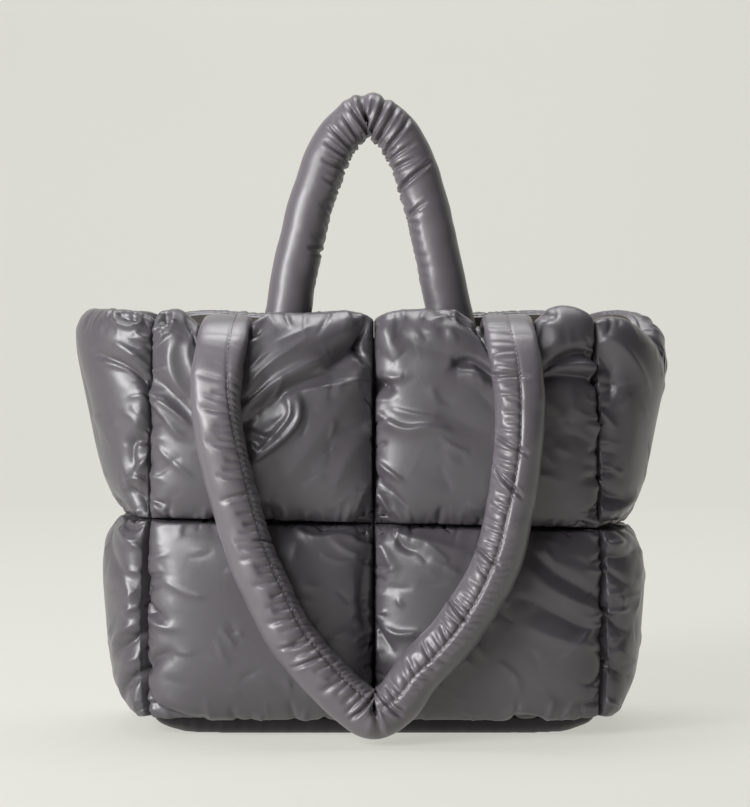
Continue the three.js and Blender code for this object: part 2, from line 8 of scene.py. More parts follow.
import bpy
import numpy as np
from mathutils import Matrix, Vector


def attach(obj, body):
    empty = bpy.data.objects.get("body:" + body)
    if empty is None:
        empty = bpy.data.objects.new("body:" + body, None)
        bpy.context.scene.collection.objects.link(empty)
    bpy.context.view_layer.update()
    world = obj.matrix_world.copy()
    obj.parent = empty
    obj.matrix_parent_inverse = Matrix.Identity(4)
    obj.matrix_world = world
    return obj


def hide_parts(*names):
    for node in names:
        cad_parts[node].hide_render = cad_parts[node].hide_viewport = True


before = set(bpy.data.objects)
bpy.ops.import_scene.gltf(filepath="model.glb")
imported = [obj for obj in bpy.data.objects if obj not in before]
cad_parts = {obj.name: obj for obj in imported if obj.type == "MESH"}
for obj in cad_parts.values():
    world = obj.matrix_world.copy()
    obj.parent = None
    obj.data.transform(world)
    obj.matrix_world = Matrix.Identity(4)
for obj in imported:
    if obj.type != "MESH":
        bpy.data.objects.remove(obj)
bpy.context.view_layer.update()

log = logging.getLogger("puffer_tote")

Array = np.ndarray

MM = 0.001
FLOOR_CLEARANCE = 0.003
HANDLE_THICKNESS = 0.038


class Wall(Enum):
    """The four walls, counter-clockwise from above; the value is the turn from facing -Y."""

    FRONT = 0.0
    RIGHT = 0.5 * math.pi
    BACK = math.pi
    LEFT = 1.5 * math.pi

    @property
    def gusset(self) -> bool:
        """Whether this is one of the two side walls."""
        return self in (Wall.LEFT, Wall.RIGHT)


class Column(Enum):
    """Which stretch of its wall a square takes, as shares of half the wall."""

    LEFT = (-1.0, 0.0)
    RIGHT = (0.0, 1.0)
    WHOLE = (-1.0, 1.0)


class Row(Enum):
    """Upper squares reach from the cross seam to the rim, lower ones from the base to the cross seam."""

    UPPER = "upper"
    LOWER = "lower"


@dataclass(frozen=True)
class RimWave:
    """A rise or dip of the rim: place and spread as shares of half the wall, rise in metres."""

    wall: Wall
    at: float
    spread: float
    rise: float


@dataclass(frozen=True)
class Fold:
    """A fold drawn over a square as a line through a few places.

    Args:
        path: its places, as shares of the square's width and height.
        width: how far it reaches to each side along the cloth, in metres.
        depth: how deep it is in metres; negative for a ridge.
        skew: from -1 to 1, how much steeper it falls on one side than on the other.
        taper: share of its depth that is left at its ends.
    """

    path: tuple[tuple[float, float], ...]
    width: float
    depth: float
    skew: float = 0.0
    taper: float = 0.3


@dataclass(frozen=True)
class Crease:
    """Spread of short random creases over a square.

    Args:
        count: how many there are.
        lie: mean direction in degrees, from level.
        stray: how far the directions stray, in degrees.
        depth: largest depth in metres.
    """

    count: int
    lie: float
    stray: float
    depth: float


@dataclass(frozen=True)
class BagSizes:
    """Sizes of the bag body in metres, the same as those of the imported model."""

    front_width: float = 0.346
    body_height: float = 0.338
    base_depth: float = 0.130
    rim_depth: float = 0.112
    base_seam_height: float = 0.016
    waist_height: float = 0.170
    waist_tilt: float = 0.008
    rim_flare: float = 0.048
    flare_power: float = 1.8
    seam_gap: float = 0.0003
    seam_thickness: float = 0.003
    front_lean_reach: float = 0.045
    gusset_lean_reach: float = 0.032
    base_lean_reach: float = 0.045
    base_lean: float = 0.08
    base_end_lean_reach: float = 0.012
    corner_drop: float = 0.010
    rim_dip: float = 0.015
    rim_dip_reach: float = 0.0327
    handle_crossings: tuple[float, float] = (-0.1184, 0.1027)
    rim_waves: tuple[RimWave, ...] = (
        RimWave(Wall.FRONT, -0.87, 0.09, 0.006),
        RimWave(Wall.FRONT, 0.88, 0.12, 0.0045),
        RimWave(Wall.FRONT, -0.33, 0.16, -0.0034),
        RimWave(Wall.FRONT, 0.55, 0.06, -0.0068),
        RimWave(Wall.RIGHT, -0.22, 0.42, -0.0287),
        RimWave(Wall.LEFT, -0.5, 0.16, -0.004),
        RimWave(Wall.BACK, -0.4, 0.3, -0.0034),
        RimWave(Wall.BACK, 0.45, 0.25, -0.004),
    )


def lerp(a: Array | float, b: Array | float, t: Array | float) -> Array:
    """Straight blend from a at t = 0 to b at t = 1."""
    return a + (b - a) * t


def rounded(path: Array) -> Array:
    """Path with its corners cut twice, each time a quarter of the way along its stretches."""
    for _ in range(2 if len(path) > 2 else 0):
        near, far = lerp(path[:-1], path[1:], 0.25), lerp(path[:-1], path[1:], 0.75)
        inner = np.stack([near, far], axis=1).reshape(-1, path.shape[1])
        path = np.concatenate([path[:1], inner[1:-1], path[-1:]])
    return path


def unit(vectors: Array) -> Array:
    """Vectors along the last axis scaled to length 1."""
    return vectors / (np.linalg.norm(vectors, axis=-1, keepdims=True) + 1e-12)


def crown(t: Array, power: float, steepness: float) -> Array:
    """Stuffed profile (1 - |2t - 1|^power)^steepness: steep at both seams, nearly flat between them."""
    return np.maximum(0.0, 1.0 - np.abs(2.0 * t - 1.0) ** power) ** steepness


def fuller(a: Array, b: Array) -> Array:
    """Two profiles taken together, with fuller corners than their product: (a^-3 + b^-3 - 1)^(-1/3).

    Args:
        a, b: profiles that are 0 at the seams and 1 at the crown.

    Returns:
        A profile that is 0 where either of them is, and equals one where the other is 1.
    """
    least = 1e-4
    both = (np.maximum(a, least) ** -3 + np.maximum(b, least) ** -3 - 1) ** (-1 / 3)
    return np.where(np.minimum(a, b) < least, 0.0, both)


def neighbour_sum(grids: Array) -> Array:
    """Sum of the four neighbours of each inner point of a stack of grids."""
    return grids[:, 2:, 1:-1] + grids[:, :-2, 1:-1] + grids[:, 1:-1, 2:] + grids[:, 1:-1, :-2]


def knot_blend(a: Array, b: Array, t: Array, start: float, end: float) -> Array:
    """Straight blend from a at t = start to b at t = end."""
    return (a * (end - t) + b * (t - start)) / (end - start)


def turn_about_z(points: Array, angle: float) -> Array:
    """Points turned about the Z axis by an angle in radians."""
    c, s = math.cos(angle), math.sin(angle)
    x, y, z = points[..., 0], points[..., 1], points[..., 2]
    return np.stack([c * x - s * y, s * x + c * y, z], axis=-1)


class SeamSurface:
    """The surface that the seams lie in, each wall worked out as if it faced -Y."""

    def __init__(self, sizes: BagSizes) -> None:
        """Keeps the sizes."""
        self.sizes = sizes

    def height_share(self, z: Array) -> Array:
        """Share of the way from the base seam to the rim."""
        low = self.sizes.base_seam_height
        return np.clip((z - low) / (self.sizes.body_height - low), 0.0, 1.0)

    def half_depth(self, z: Array) -> Array:
        """Half the depth between the front and back seams."""
        return lerp(self.sizes.base_depth, self.sizes.rim_depth, self.height_share(z)) / 2

    def flare(self, z: Array) -> Array:
        """How far the middle of a side wall stands out beyond the corner seams."""
        return self.sizes.rim_flare * self.height_share(z) ** self.sizes.flare_power

    def waist(self, x: Array) -> Array:
        """Height of the cross seam at x."""
        side = np.clip(x / (self.sizes.front_width / 2), -1.0, 1.0)
        return self.sizes.waist_height - side * self.sizes.waist_tilt / 2

    def rim(self, wall: Wall, s: Array, u: Array) -> Array:
        """Height of the rim: level, with its waves, rounded corners and the dips under the front handle."""
        height = np.full_like(s, self.sizes.body_height)
        for wave in self.sizes.rim_waves:
            if wave.wall is wall:
                height = height + wave.rise * np.exp(-(((s - wave.at) / wave.spread) ** 2))
        height = height - self.sizes.corner_drop * np.abs(2 * u - 1) ** 8
        if wall is Wall.FRONT:
            for crossing in self.sizes.handle_crossings:
                away = (s * self.sizes.front_width / 2 - crossing) / self.sizes.rim_dip_reach
                height = lerp(height, self.sizes.body_height - self.sizes.rim_dip, np.exp(-(away**6)))
        return height

    def sizes_at(self, wall: Wall, z: Array) -> tuple[Array, Array, Array]:
        """Half width, distance from the middle and crown of a wall at height z."""
        depth = self.half_depth(z)
        if wall.gusset:
            return depth, np.full_like(z, self.sizes.front_width / 2), self.flare(z)
        return np.full_like(z, self.sizes.front_width / 2), depth, np.zeros_like(z)

    @staticmethod
    def plan_normal(half: Array, crown_height: Array, s: Array) -> Array:
        """Unit vector square to a wall in plan: the wall is a parabola of that half width and crown."""
        slope = 2 * crown_height * s
        return unit(np.stack([slope, -half, np.zeros_like(half)], axis=-1))

    def neighbour_normal(self, wall: Wall, side: Array, z: Array) -> Array:
        """Direction that the next wall faces at the shared corner seam."""
        if wall.gusset:
            return np.stack([side, np.zeros_like(z), np.zeros_like(z)], axis=-1)
        across = self.plan_normal(self.half_depth(z), self.flare(z), np.ones_like(z))
        return np.stack([-side * across[..., 1], -across[..., 0], np.zeros_like(z)], axis=-1)

    def frame(self, wall: Wall, s: Array, z: Array) -> tuple[Array, Array]:
        """Points of the seam surface and the directions in which the filling stands out.

        Args:
            wall: the wall, worked out as if it faced -Y.
            s: place across the wall, from -1 to 1.
            z: height.

        Returns:
            The points, and unit vectors: square to the wall, leaning to the bisector at its seams.
        """
        sizes = self.sizes
        half, stand, rise = self.sizes_at(wall, z)
        points = np.stack([s * half, -(stand + rise * (1 - s * s)), z], axis=-1)
        out = self.plan_normal(half, rise, s)
        reach = sizes.gusset_lean_reach if wall.gusset else sizes.front_lean_reach
        weight = np.maximum(0.0, 1 - half * (1 - np.abs(s)) / reach) ** 2
        out = unit(out + weight[..., None] * self.neighbour_normal(wall, np.sign(s), z))
        above = (z - sizes.base_seam_height) / sizes.base_lean_reach
        sink = sizes.base_lean * np.maximum(0.0, 1 - above) ** 2
        out = unit(out - np.stack([0 * sink, 0 * sink, sink], axis=-1))
        return points, out

    def corner_plane(self, wall: Wall, side: float, z: Array) -> tuple[Array, Array]:
        """Plane between a wall and its neighbour at a corner seam.

        Args:
            wall: the wall, worked out as if it faced -Y.
            side: -1 for its left seam, 1 for its right one.
            z: heights.

        Returns:
            Unit normals that point to the neighbour, square to the bisector of the two walls, and points.
        """
        sides = np.full_like(z, side)
        half, stand, rise = self.sizes_at(wall, z)
        own = self.plan_normal(half, rise, sides)
        both = unit(own + self.neighbour_normal(wall, sides, z))
        normal = side * np.stack([-both[..., 1], both[..., 0], np.zeros_like(z)], axis=-1)
        return normal, np.stack([sides * half, -stand, z], axis=-1)


@dataclass
class Sheet:
    """Grid of cloth points with its rest lengths, shape (sheets, across, high, 3)."""

    points: Array
    rest_across: Array
    rest_high: Array


class Relaxer:
    """Lets stuffed cloth settle: links keep their lengths, filling pushes out, planes and props hold it.

    Each link moves its two ends along the line between them towards its rest length. Links are taken
    in batches in which no point is used twice, so each batch is one array step. STIFF, TRELLIS and BEND
    are shares from 0 to 1 for the threads, for shear and for sharp bends, and SPAN is the share of two
    steps that a bend may close to. PUSH is how far the filling moves a point out on each pass, in metres,
    HOLD the share of the way back to the stuffed shape, and SMOOTH the share of the way to the mean of
    the four neighbours.
    """

    STIFF = 0.9
    TRELLIS = 0.3
    BEND = 0.3
    SPAN = 0.96
    PUSH = 0.00005
    HOLD = 0.006
    SMOOTH = 0.012

    def __init__(self, sheet: Sheet) -> None:
        """Prepares the links of a sheet of cloth."""
        self.x = sheet.points.astype(np.float32)
        self.links: list[tuple] = []
        _, across, high, _ = sheet.points.shape
        rest_u = sheet.rest_across.astype(np.float32)
        rest_v = sheet.rest_high.astype(np.float32)
        every = slice(None)
        for s in (0, 1):
            rows_a, rows_b = slice(s, across - 1, 2), slice(s + 1, across, 2)
            self._add((every, rows_a), (every, rows_b), rest_u[:, rows_a], self.STIFF)
            cols_a, cols_b = slice(s, high - 1, 2), slice(s + 1, high, 2)
            self._add((every, every, cols_a), (every, every, cols_b), rest_v[:, :, cols_a], self.STIFF)
            slant = np.hypot(rest_u[:, rows_a, : high - 1], rest_v[:, rows_a, : high - 1])
            left, right = slice(0, high - 1), slice(1, high)
            self._add((every, rows_a, left), (every, rows_b, right), slant, self.TRELLIS)
            self._add((every, rows_a, right), (every, rows_b, left), slant, self.TRELLIS)
        for s in range(4):
            rows_a, rows_b = slice(s, across - 2, 4), slice(s + 2, across, 4)
            both = rest_u[:, rows_a] + rest_u[:, slice(s + 1, across - 1, 4)]
            self._add((every, rows_a), (every, rows_b), both * self.SPAN, self.BEND, True)
            cols_a, cols_b = slice(s, high - 2, 4), slice(s + 2, high, 4)
            both = rest_v[:, :, cols_a] + rest_v[:, :, slice(s + 1, high - 1, 4)]
            self._add((every, every, cols_a), (every, every, cols_b), both * self.SPAN, self.BEND, True)

    def _add(self, a: tuple, b: tuple, rest: Array, stiffness: float, push_only: bool = False) -> None:
        """Adds a batch of links between two stretches of the grid.

        Args:
            a, b: the two stretches, as index tuples.
            rest: rest lengths of the links.
            stiffness: share of the error that a pass takes away.
            push_only: whether the links only hold their ends apart.
        """
        if rest.size:
            self.links.append((a, b, np.ascontiguousarray(rest), stiffness, push_only))

    def _pull(self) -> None:
        """One pass over all links."""
        for a, b, rest, stiffness, push_only in self.links:
            first, second = self.x[a], self.x[b]
            gap = second - first
            length = np.sqrt(np.einsum("...k,...k->...", gap, gap)) + 1e-9
            share = (0.5 * stiffness) * (1 - rest / length)
            if push_only:
                np.minimum(share, 0.0, out=share)
            gap *= share[..., None]
            first += gap
            second -= gap

    def _normals(self) -> Array:
        """Unit normals at the inner points, from the two lines across each point."""
        u = self.x[:, 2:, 1:-1] - self.x[:, :-2, 1:-1]
        v = self.x[:, 1:-1, 2:] - self.x[:, 1:-1, :-2]
        n = np.empty_like(u)
        n[..., 0] = u[..., 1] * v[..., 2] - u[..., 2] * v[..., 1]
        n[..., 1] = u[..., 2] * v[..., 0] - u[..., 0] * v[..., 2]
        n[..., 2] = u[..., 0] * v[..., 1] - u[..., 1] * v[..., 0]
        n /= np.sqrt(np.einsum("...k,...k->...", n, n))[..., None] + 1e-12
        return n

    def settle(self, rounds: int, home: Array, pinned: Array, limits: Callable[[Array], None]) -> Array:
        """Runs the relaxation.

        Args:
            rounds: number of passes.
            home: the shape that the filling holds the cloth near.
            pinned: mask of the points that the seams hold.
            limits: function that moves points of the grid clear of planes and props.

        Returns:
            The settled points.
        """
        home = home.astype(np.float32)
        held = home[pinned]
        for _ in range(rounds):
            self._pull()
            inner = self.x[:, 1:-1, 1:-1]
            inner += self.PUSH * self._normals()
            inner += self.SMOOTH * (neighbour_sum(self.x) * 0.25 - inner)
            self.x += self.HOLD * (home - self.x)
            limits(self.x)
            self.x[pinned] = held
        return self.x


def refine(grid: Array, size: int) -> Array:
    """Stack of square grids resampled to more points a side, by straight blends of neighbours."""
    count = grid.shape[1]
    at = np.linspace(0, count - 1, size)
    low = np.minimum(at.astype(int), count - 2)
    part = (at - low)[None, :, None, None]
    rows = grid[:, low] * (1 - part) + grid[:, low + 1] * part
    part = (at - low)[None, None, :, None]
    return rows[:, :, low] * (1 - part) + rows[:, :, low + 1] * part


def soft_noise(rng: np.random.Generator, shape: tuple[int, ...], passes: int, wraps: bool = False) -> Array:
    """Random numbers smoothed over the two grid axes, scaled to a spread of about 1.

    Args:
        rng: the random source.
        shape: number of grids, and points across and high.
        passes: how often they are smoothed.
        wraps: whether the last column lies beside the first.

    Returns:
        The numbers, of that shape.
    """
    noise = rng.standard_normal(shape)
    for _ in range(passes):
        edge = np.concatenate([noise[:, :1], noise, noise[:, -1:]], axis=1)
        noise = (edge[:, 2:] + 2 * noise + edge[:, :-2]) / 4
        if wraps:
            noise = (np.roll(noise, 1, 2) + 2 * noise + np.roll(noise, -1, 2)) / 4
        else:
            edge = np.concatenate([noise[:, :, :1], noise, noise[:, :, -1:]], axis=2)
            noise = (edge[:, :, 2:] + 2 * noise + edge[:, :, :-2]) / 4
    return noise / (noise.std() + 1e-9)


@dataclass(frozen=True)
class NylonFinish:
    """Coated nylon: smooth film over a fine weave, with small crinkles.

    Args:
        name: material name.
        colour: base colour, from which it strays by TINT either way.
        roughness: its middle value; it strays by WEAR down and up.
        coat, coat_roughness: strength and roughness of the film.
        crinkle: strength of the fine crinkles.
        crumple: strength of the ridged crumples.
        specular: strength of the reflection under the film.
    """

    name: str
    colour: tuple[float, float, float]
    roughness: float = 0.42
    coat: float = 0.4
    coat_roughness: float = 0.28
    crinkle: float = 0.32
    crumple: float = 0.5
    specular: float = 0.5

    TINT = 0.1
    WEAR = (0.06, 0.08)
    CREASE_DEPTH = 0.0006
    WEAVE_STRENGTH = 0.12
    WEAVE_DEPTH = 0.00012

    def build(self) -> bpy.types.Material:
        """Material with its colour cast, wear, crumples and weave from noise on Object coordinates."""
        material = bpy.data.materials.new(self.name)
        material.use_nodes = True
        nodes, links = material.node_tree.nodes, material.node_tree.links
        shader = nodes["Principled BSDF"]
        shader.inputs["Coat Weight"].default_value = self.coat
        shader.inputs["Coat Roughness"].default_value = self.coat_roughness
        shader.inputs["Specular IOR Level"].default_value = self.specular
        place = nodes.new("ShaderNodeTexCoord")
        cast = self._noise(place, 14.0, 3.0)
        tint = nodes.new("ShaderNodeMix")
        tint.data_type = "RGBA"
        tint.inputs["A"].default_value = (*[c * (1 - self.TINT) for c in self.colour], 1)
        tint.inputs["B"].default_value = (*[c * (1 + self.TINT) for c in self.colour], 1)
        links.new(cast.outputs["Fac"], tint.inputs["Factor"])
        links.new(tint.outputs["Result"], shader.inputs["Base Color"])
        wear = self._noise(place, 60.0, 4.0)
        spread = nodes.new("ShaderNodeMapRange")
        spread.inputs["To Min"].default_value = self.roughness - self.WEAR[0]
        spread.inputs["To Max"].default_value = self.roughness + self.WEAR[1]
        links.new(wear.outputs["Fac"], spread.inputs["Value"])
        links.new(spread.outputs["Result"], shader.inputs["Roughness"])
        crumple = self._noise(place, 26.0, 4.0)
        crumple.noise_type = "RIDGED_MULTIFRACTAL"
        crinkle = self._noise(place, 170.0, 3.0)
        weave = self._noise(place, 2600.0, 1.0)
        normal = None
        for height, strength, depth in (
            (crumple, self.crumple, self.CREASE_DEPTH),
            (crinkle, self.crinkle, self.CREASE_DEPTH),
            (weave, self.WEAVE_STRENGTH, self.WEAVE_DEPTH),
        ):
            bump = nodes.new("ShaderNodeBump")
            bump.inputs["Strength"].default_value = strength
            bump.inputs["Distance"].default_value = depth
            links.new(height.outputs["Fac"], bump.inputs["Height"])
            if normal:
                links.new(normal, bump.inputs["Normal"])
            normal = bump.outputs["Normal"]
        links.new(normal, shader.inputs["Normal"])
        return material

    @staticmethod
    def _noise(place: bpy.types.Node, scale: float, detail: float) -> bpy.types.Node:
        """Noise texture on the Object coordinates of a coordinate node."""
        tree = place.id_data
        noise = tree.nodes.new("ShaderNodeTexNoise")
        noise.inputs["Scale"].default_value = scale
        noise.inputs["Detail"].default_value = detail
        tree.links.new(place.outputs["Object"], noise.inputs["Vector"])
        return noise


@dataclass(frozen=True)
class MatteFinish:
    """Plain matte surface with a faint mottle, for thread and for the evenly lit studio floor.

    Args:
        name: material name.
        colour: base colour.
        roughness: roughness of the surface.
        mottle: share by which the colour strays either way.
        scale: how many blotches fit in a metre, roughly.
        glow: strength of its own light, in the same colour.
    """

    name: str
    colour: tuple[float, float, float]
    roughness: float = 0.8
    mottle: float = 0.04
    scale: float = 30.0
    glow: float = 0.0

    def build(self) -> bpy.types.Material:
        """Material whose colour wanders by a small share."""
        material = bpy.data.materials.new(self.name)
        material.use_nodes = True
        nodes, links = material.node_tree.nodes, material.node_tree.links
        shader = nodes["Principled BSDF"]
        shader.inputs["Roughness"].default_value = self.roughness
        place = nodes.new("ShaderNodeTexCoord")
        noise = nodes.new("ShaderNodeTexNoise")
        noise.inputs["Scale"].default_value = self.scale
        links.new(place.outputs["Object"], noise.inputs["Vector"])
        tint = nodes.new("ShaderNodeMix")
        tint.data_type = "RGBA"
        tint.inputs["A"].default_value = (*[c * (1 - self.mottle) for c in self.colour], 1)
        tint.inputs["B"].default_value = (*[min(1.0, c * (1 + self.mottle)) for c in self.colour], 1)
        links.new(noise.outputs["Fac"], tint.inputs["Factor"])
        links.new(tint.outputs["Result"], shader.inputs["Base Color"])
        if self.glow:
            links.new(tint.outputs["Result"], shader.inputs["Emission Color"])
            shader.inputs["Emission Strength"].default_value = self.glow
        return material


SHELL = NylonFinish("shell_nylon", (0.071, 0.0647, 0.074))
HANDLE_SHELL = NylonFinish("handle_nylon", (0.108, 0.098, 0.111), crumple=0.18)
# Painted shade: the base nylon is made far darker than the shell, with no coat and weak reflection, to stand
# in for the shadow under the overhanging lower squares.
PAINTED_SHADE_BASE_SHELL = NylonFinish("base_nylon", (0.026, 0.023, 0.026), coat=0.0, specular=0.15)
LINING = NylonFinish("lining_nylon", (0.060, 0.048, 0.040), roughness=0.5, coat=0.05, crumple=0.2)
THREAD = MatteFinish("seam_thread", (0.20, 0.19, 0.205), 0.5)
FLOOR = MatteFinish("pale_floor", (0.2, 0.198, 0.183), 0.9, 0.01, 2.0, 2.4)


def mesh_piece(
    name: str,
    points: Array,
    quads: Array,
    triangles: Array,
    materials: list[bpy.types.Material],
    slots: Array,
) -> bpy.types.Object:
    """Smooth-shaded mesh object at the origin from arrays of points, quads and triangles.

    Args:
        name: object name.
        points: (n, 3) places in metres.
        quads, triangles: corner numbers, faces pointing outwards.
        materials: the materials, in slot order.
        slots: material slot of each face, quads first.

    Returns:
        The linked object.
    """
    mesh = bpy.data.meshes.new(name)
    corners = np.concatenate([quads.ravel(), triangles.ravel()]).astype(np.int32)
    sizes = np.concatenate([np.full(len(quads), 4), np.full(len(triangles), 3)]).astype(np.int32)
    starts = np.concatenate([[0], np.cumsum(sizes)[:-1]]).astype(np.int32)
    mesh.vertices.add(len(points))
    mesh.loops.add(len(corners))
    mesh.polygons.add(len(sizes))
    mesh.vertices.foreach_set("co", points.astype(np.float32).ravel())
    mesh.loops.foreach_set("vertex_index", corners)
    mesh.polygons.foreach_set("loop_start", starts)
    mesh.polygons.foreach_set("loop_total", sizes)
    mesh.polygons.foreach_set("material_index", slots.astype(np.int32))
    mesh.polygons.foreach_set("use_smooth", np.ones(len(sizes), bool))
    for material in materials:
        mesh.materials.append(material)
    mesh.update(calc_edges=True)
    mesh.validate()
    piece = bpy.data.objects.new(name, mesh)
    bpy.context.scene.collection.objects.link(piece)
    return piece


def grid_numbers(across: int, high: int, first: int = 0) -> Array:
    """Point numbers of a grid, counted from a first number."""
    return first + np.arange(across * high).reshape(across, high)


def grid_quads(numbers: Array) -> Array:
    """Quads of a grid, facing the side from which across and high turn counter-clockwise."""
    corners = (numbers[:-1, :-1], numbers[1:, :-1], numbers[1:, 1:], numbers[:-1, 1:])
    return np.stack(corners, axis=-1).reshape(-1, 4)


def zip_edges(fine: Array, coarse: Array) -> Array:
    """Triangles between a fine edge and a coarse edge that run side by side.

    The fine edge has a whole number of steps for each coarse one. The first half of those steps fans
    from the near coarse point and the second half from the far one.

    Args:
        fine, coarse: point numbers along the two edges.

    Returns:
        Corner numbers of the triangles.
    """
    steps = (len(fine) - 1) // (len(coarse) - 1)
    half = steps // 2
    starts = np.arange(len(coarse) - 1) * steps
    rows = []
    for k in range(steps):
        tip = coarse[:-1] if k < half else coarse[1:]
        rows.append(np.stack([tip, fine[starts + k], fine[starts + k + 1]], axis=-1))
    rows.append(np.stack([coarse[:-1], fine[starts + half], coarse[1:]], axis=-1))
    return np.concatenate(rows)


@dataclass(frozen=True)
class Pleat:
    """A deep fold across a handle.

    Args:
        at: its place as a share of the run.
        angle: middle of the stretch it takes round the handle, in degrees.
        arc: half the length of that stretch along the cloth, in metres.
        width, depth: half width and depth in metres.
        slant: how far it leans back along the run for each metre round the handle.
    """

    at: float
    angle: float
    arc: float
    width: float
    depth: float
    slant: float = 0.0


@dataclass(frozen=True)
class Gather:
    """Row of gathers along one side of a handle's seam.

    Args:
        side: 1 for the side away from the handle's inner edge, -1 for the side towards it.
        spread: pairs of a share of the run and a strength.
        pitch, width, reach, depth: mean spacing, half width, length and depth of the valleys.
        lean: how far the valleys lean back along the run for each metre away from the seam.
    """

    side: int
    spread: tuple[tuple[float, float], ...]
    pitch: float
    width: float
    reach: float
    depth: float
    lean: float


@dataclass
class HandleShape:
    """A stuffed rope handle: its route, section, seam and gathers, in metres.

    Section, seam and seam depth are pairs of a share of the run and a value; seam values are angles
    in degrees from the inner side towards the face. The section is an oval of power 2 where it is
    stuffed and squarer where it lies flat.
    """

    name: str
    node: str
    route: Array
    wide: list[tuple[float, float]]
    thick: list[tuple[float, float]]
    power: list[tuple[float, float]]
    seam: list[tuple[float, float]]
    seam_depth: list[tuple[float, float]]
    gathers: tuple[Gather, ...]
    rings: int
    sides: int
    seed: int
    pleats: tuple[Pleat, ...] = ()
    diameter: float = HANDLE_THICKNESS

    def centreline(self, count: int) -> dict[str, Array]:
        """Evenly spaced stations on a smooth curve through the route, with their directions.

        The curve is a centripetal Catmull-Rom spline. The side direction starts along +X and is carried
        along without twisting, and face is square to it and to the route.

        Args:
            count: number of stations.

        Returns:
            Place, along, side and face of each station, inward: how sharply the route turns to that
            side, and run: its distance from the start.
        """
        points = self.route
        ends = np.vstack([2 * points[0] - points[1], points, 2 * points[-1] - points[-2]])
        fine = []
        for i in range(1, len(ends) - 2):
            p = ends[i - 1 : i + 3]
            knots = np.concatenate([[0], np.cumsum(np.linalg.norm(np.diff(p, axis=0), axis=1) ** 0.5)])
            t = np.linspace(knots[1], knots[2], 60, endpoint=False)[:, None]
            a1, a2, a3 = (knot_blend(p[k], p[k + 1], t, knots[k], knots[k + 1]) for k in range(3))
            b1 = knot_blend(a1, a2, t, knots[0], knots[2])
            b2 = knot_blend(a2, a3, t, knots[1], knots[3])
            fine.append(knot_blend(b1, b2, t, knots[1], knots[2]))
        fine = np.vstack([*fine, points[-1:]])
        run = np.concatenate([[0], np.cumsum(np.linalg.norm(np.diff(fine, axis=0), axis=1))])
        at = np.linspace(0, run[-1], count)
        place = np.stack([np.interp(at, run, fine[:, k]) for k in range(3)], axis=-1)
        along = unit(np.gradient(place, axis=0))
        side = np.zeros_like(place)
        carried = np.array([1.0, 0.0, 0.0])
        for i in range(count):
            carried = carried - along[i] * (carried @ along[i])
            carried = carried / np.linalg.norm(carried)
            side[i] = carried
        face = np.cross(along, side)
        bend = np.gradient(along, axis=0) / (run[-1] / (count - 1))
        inward = np.einsum("ij,ij->i", bend, side)
        return {"place": place, "along": along, "side": side, "face": face, "inward": inward, "run": at}

    def section(self, share: Array) -> tuple[Array, Array]:
        """Half width and half thickness at shares of the way from either end to the middle."""
        radius = self.diameter / 2
        wide = np.interp(share, *zip(*self.wide)) * radius
        thick = np.interp(share, *zip(*self.thick)) * radius
        return wide, thick


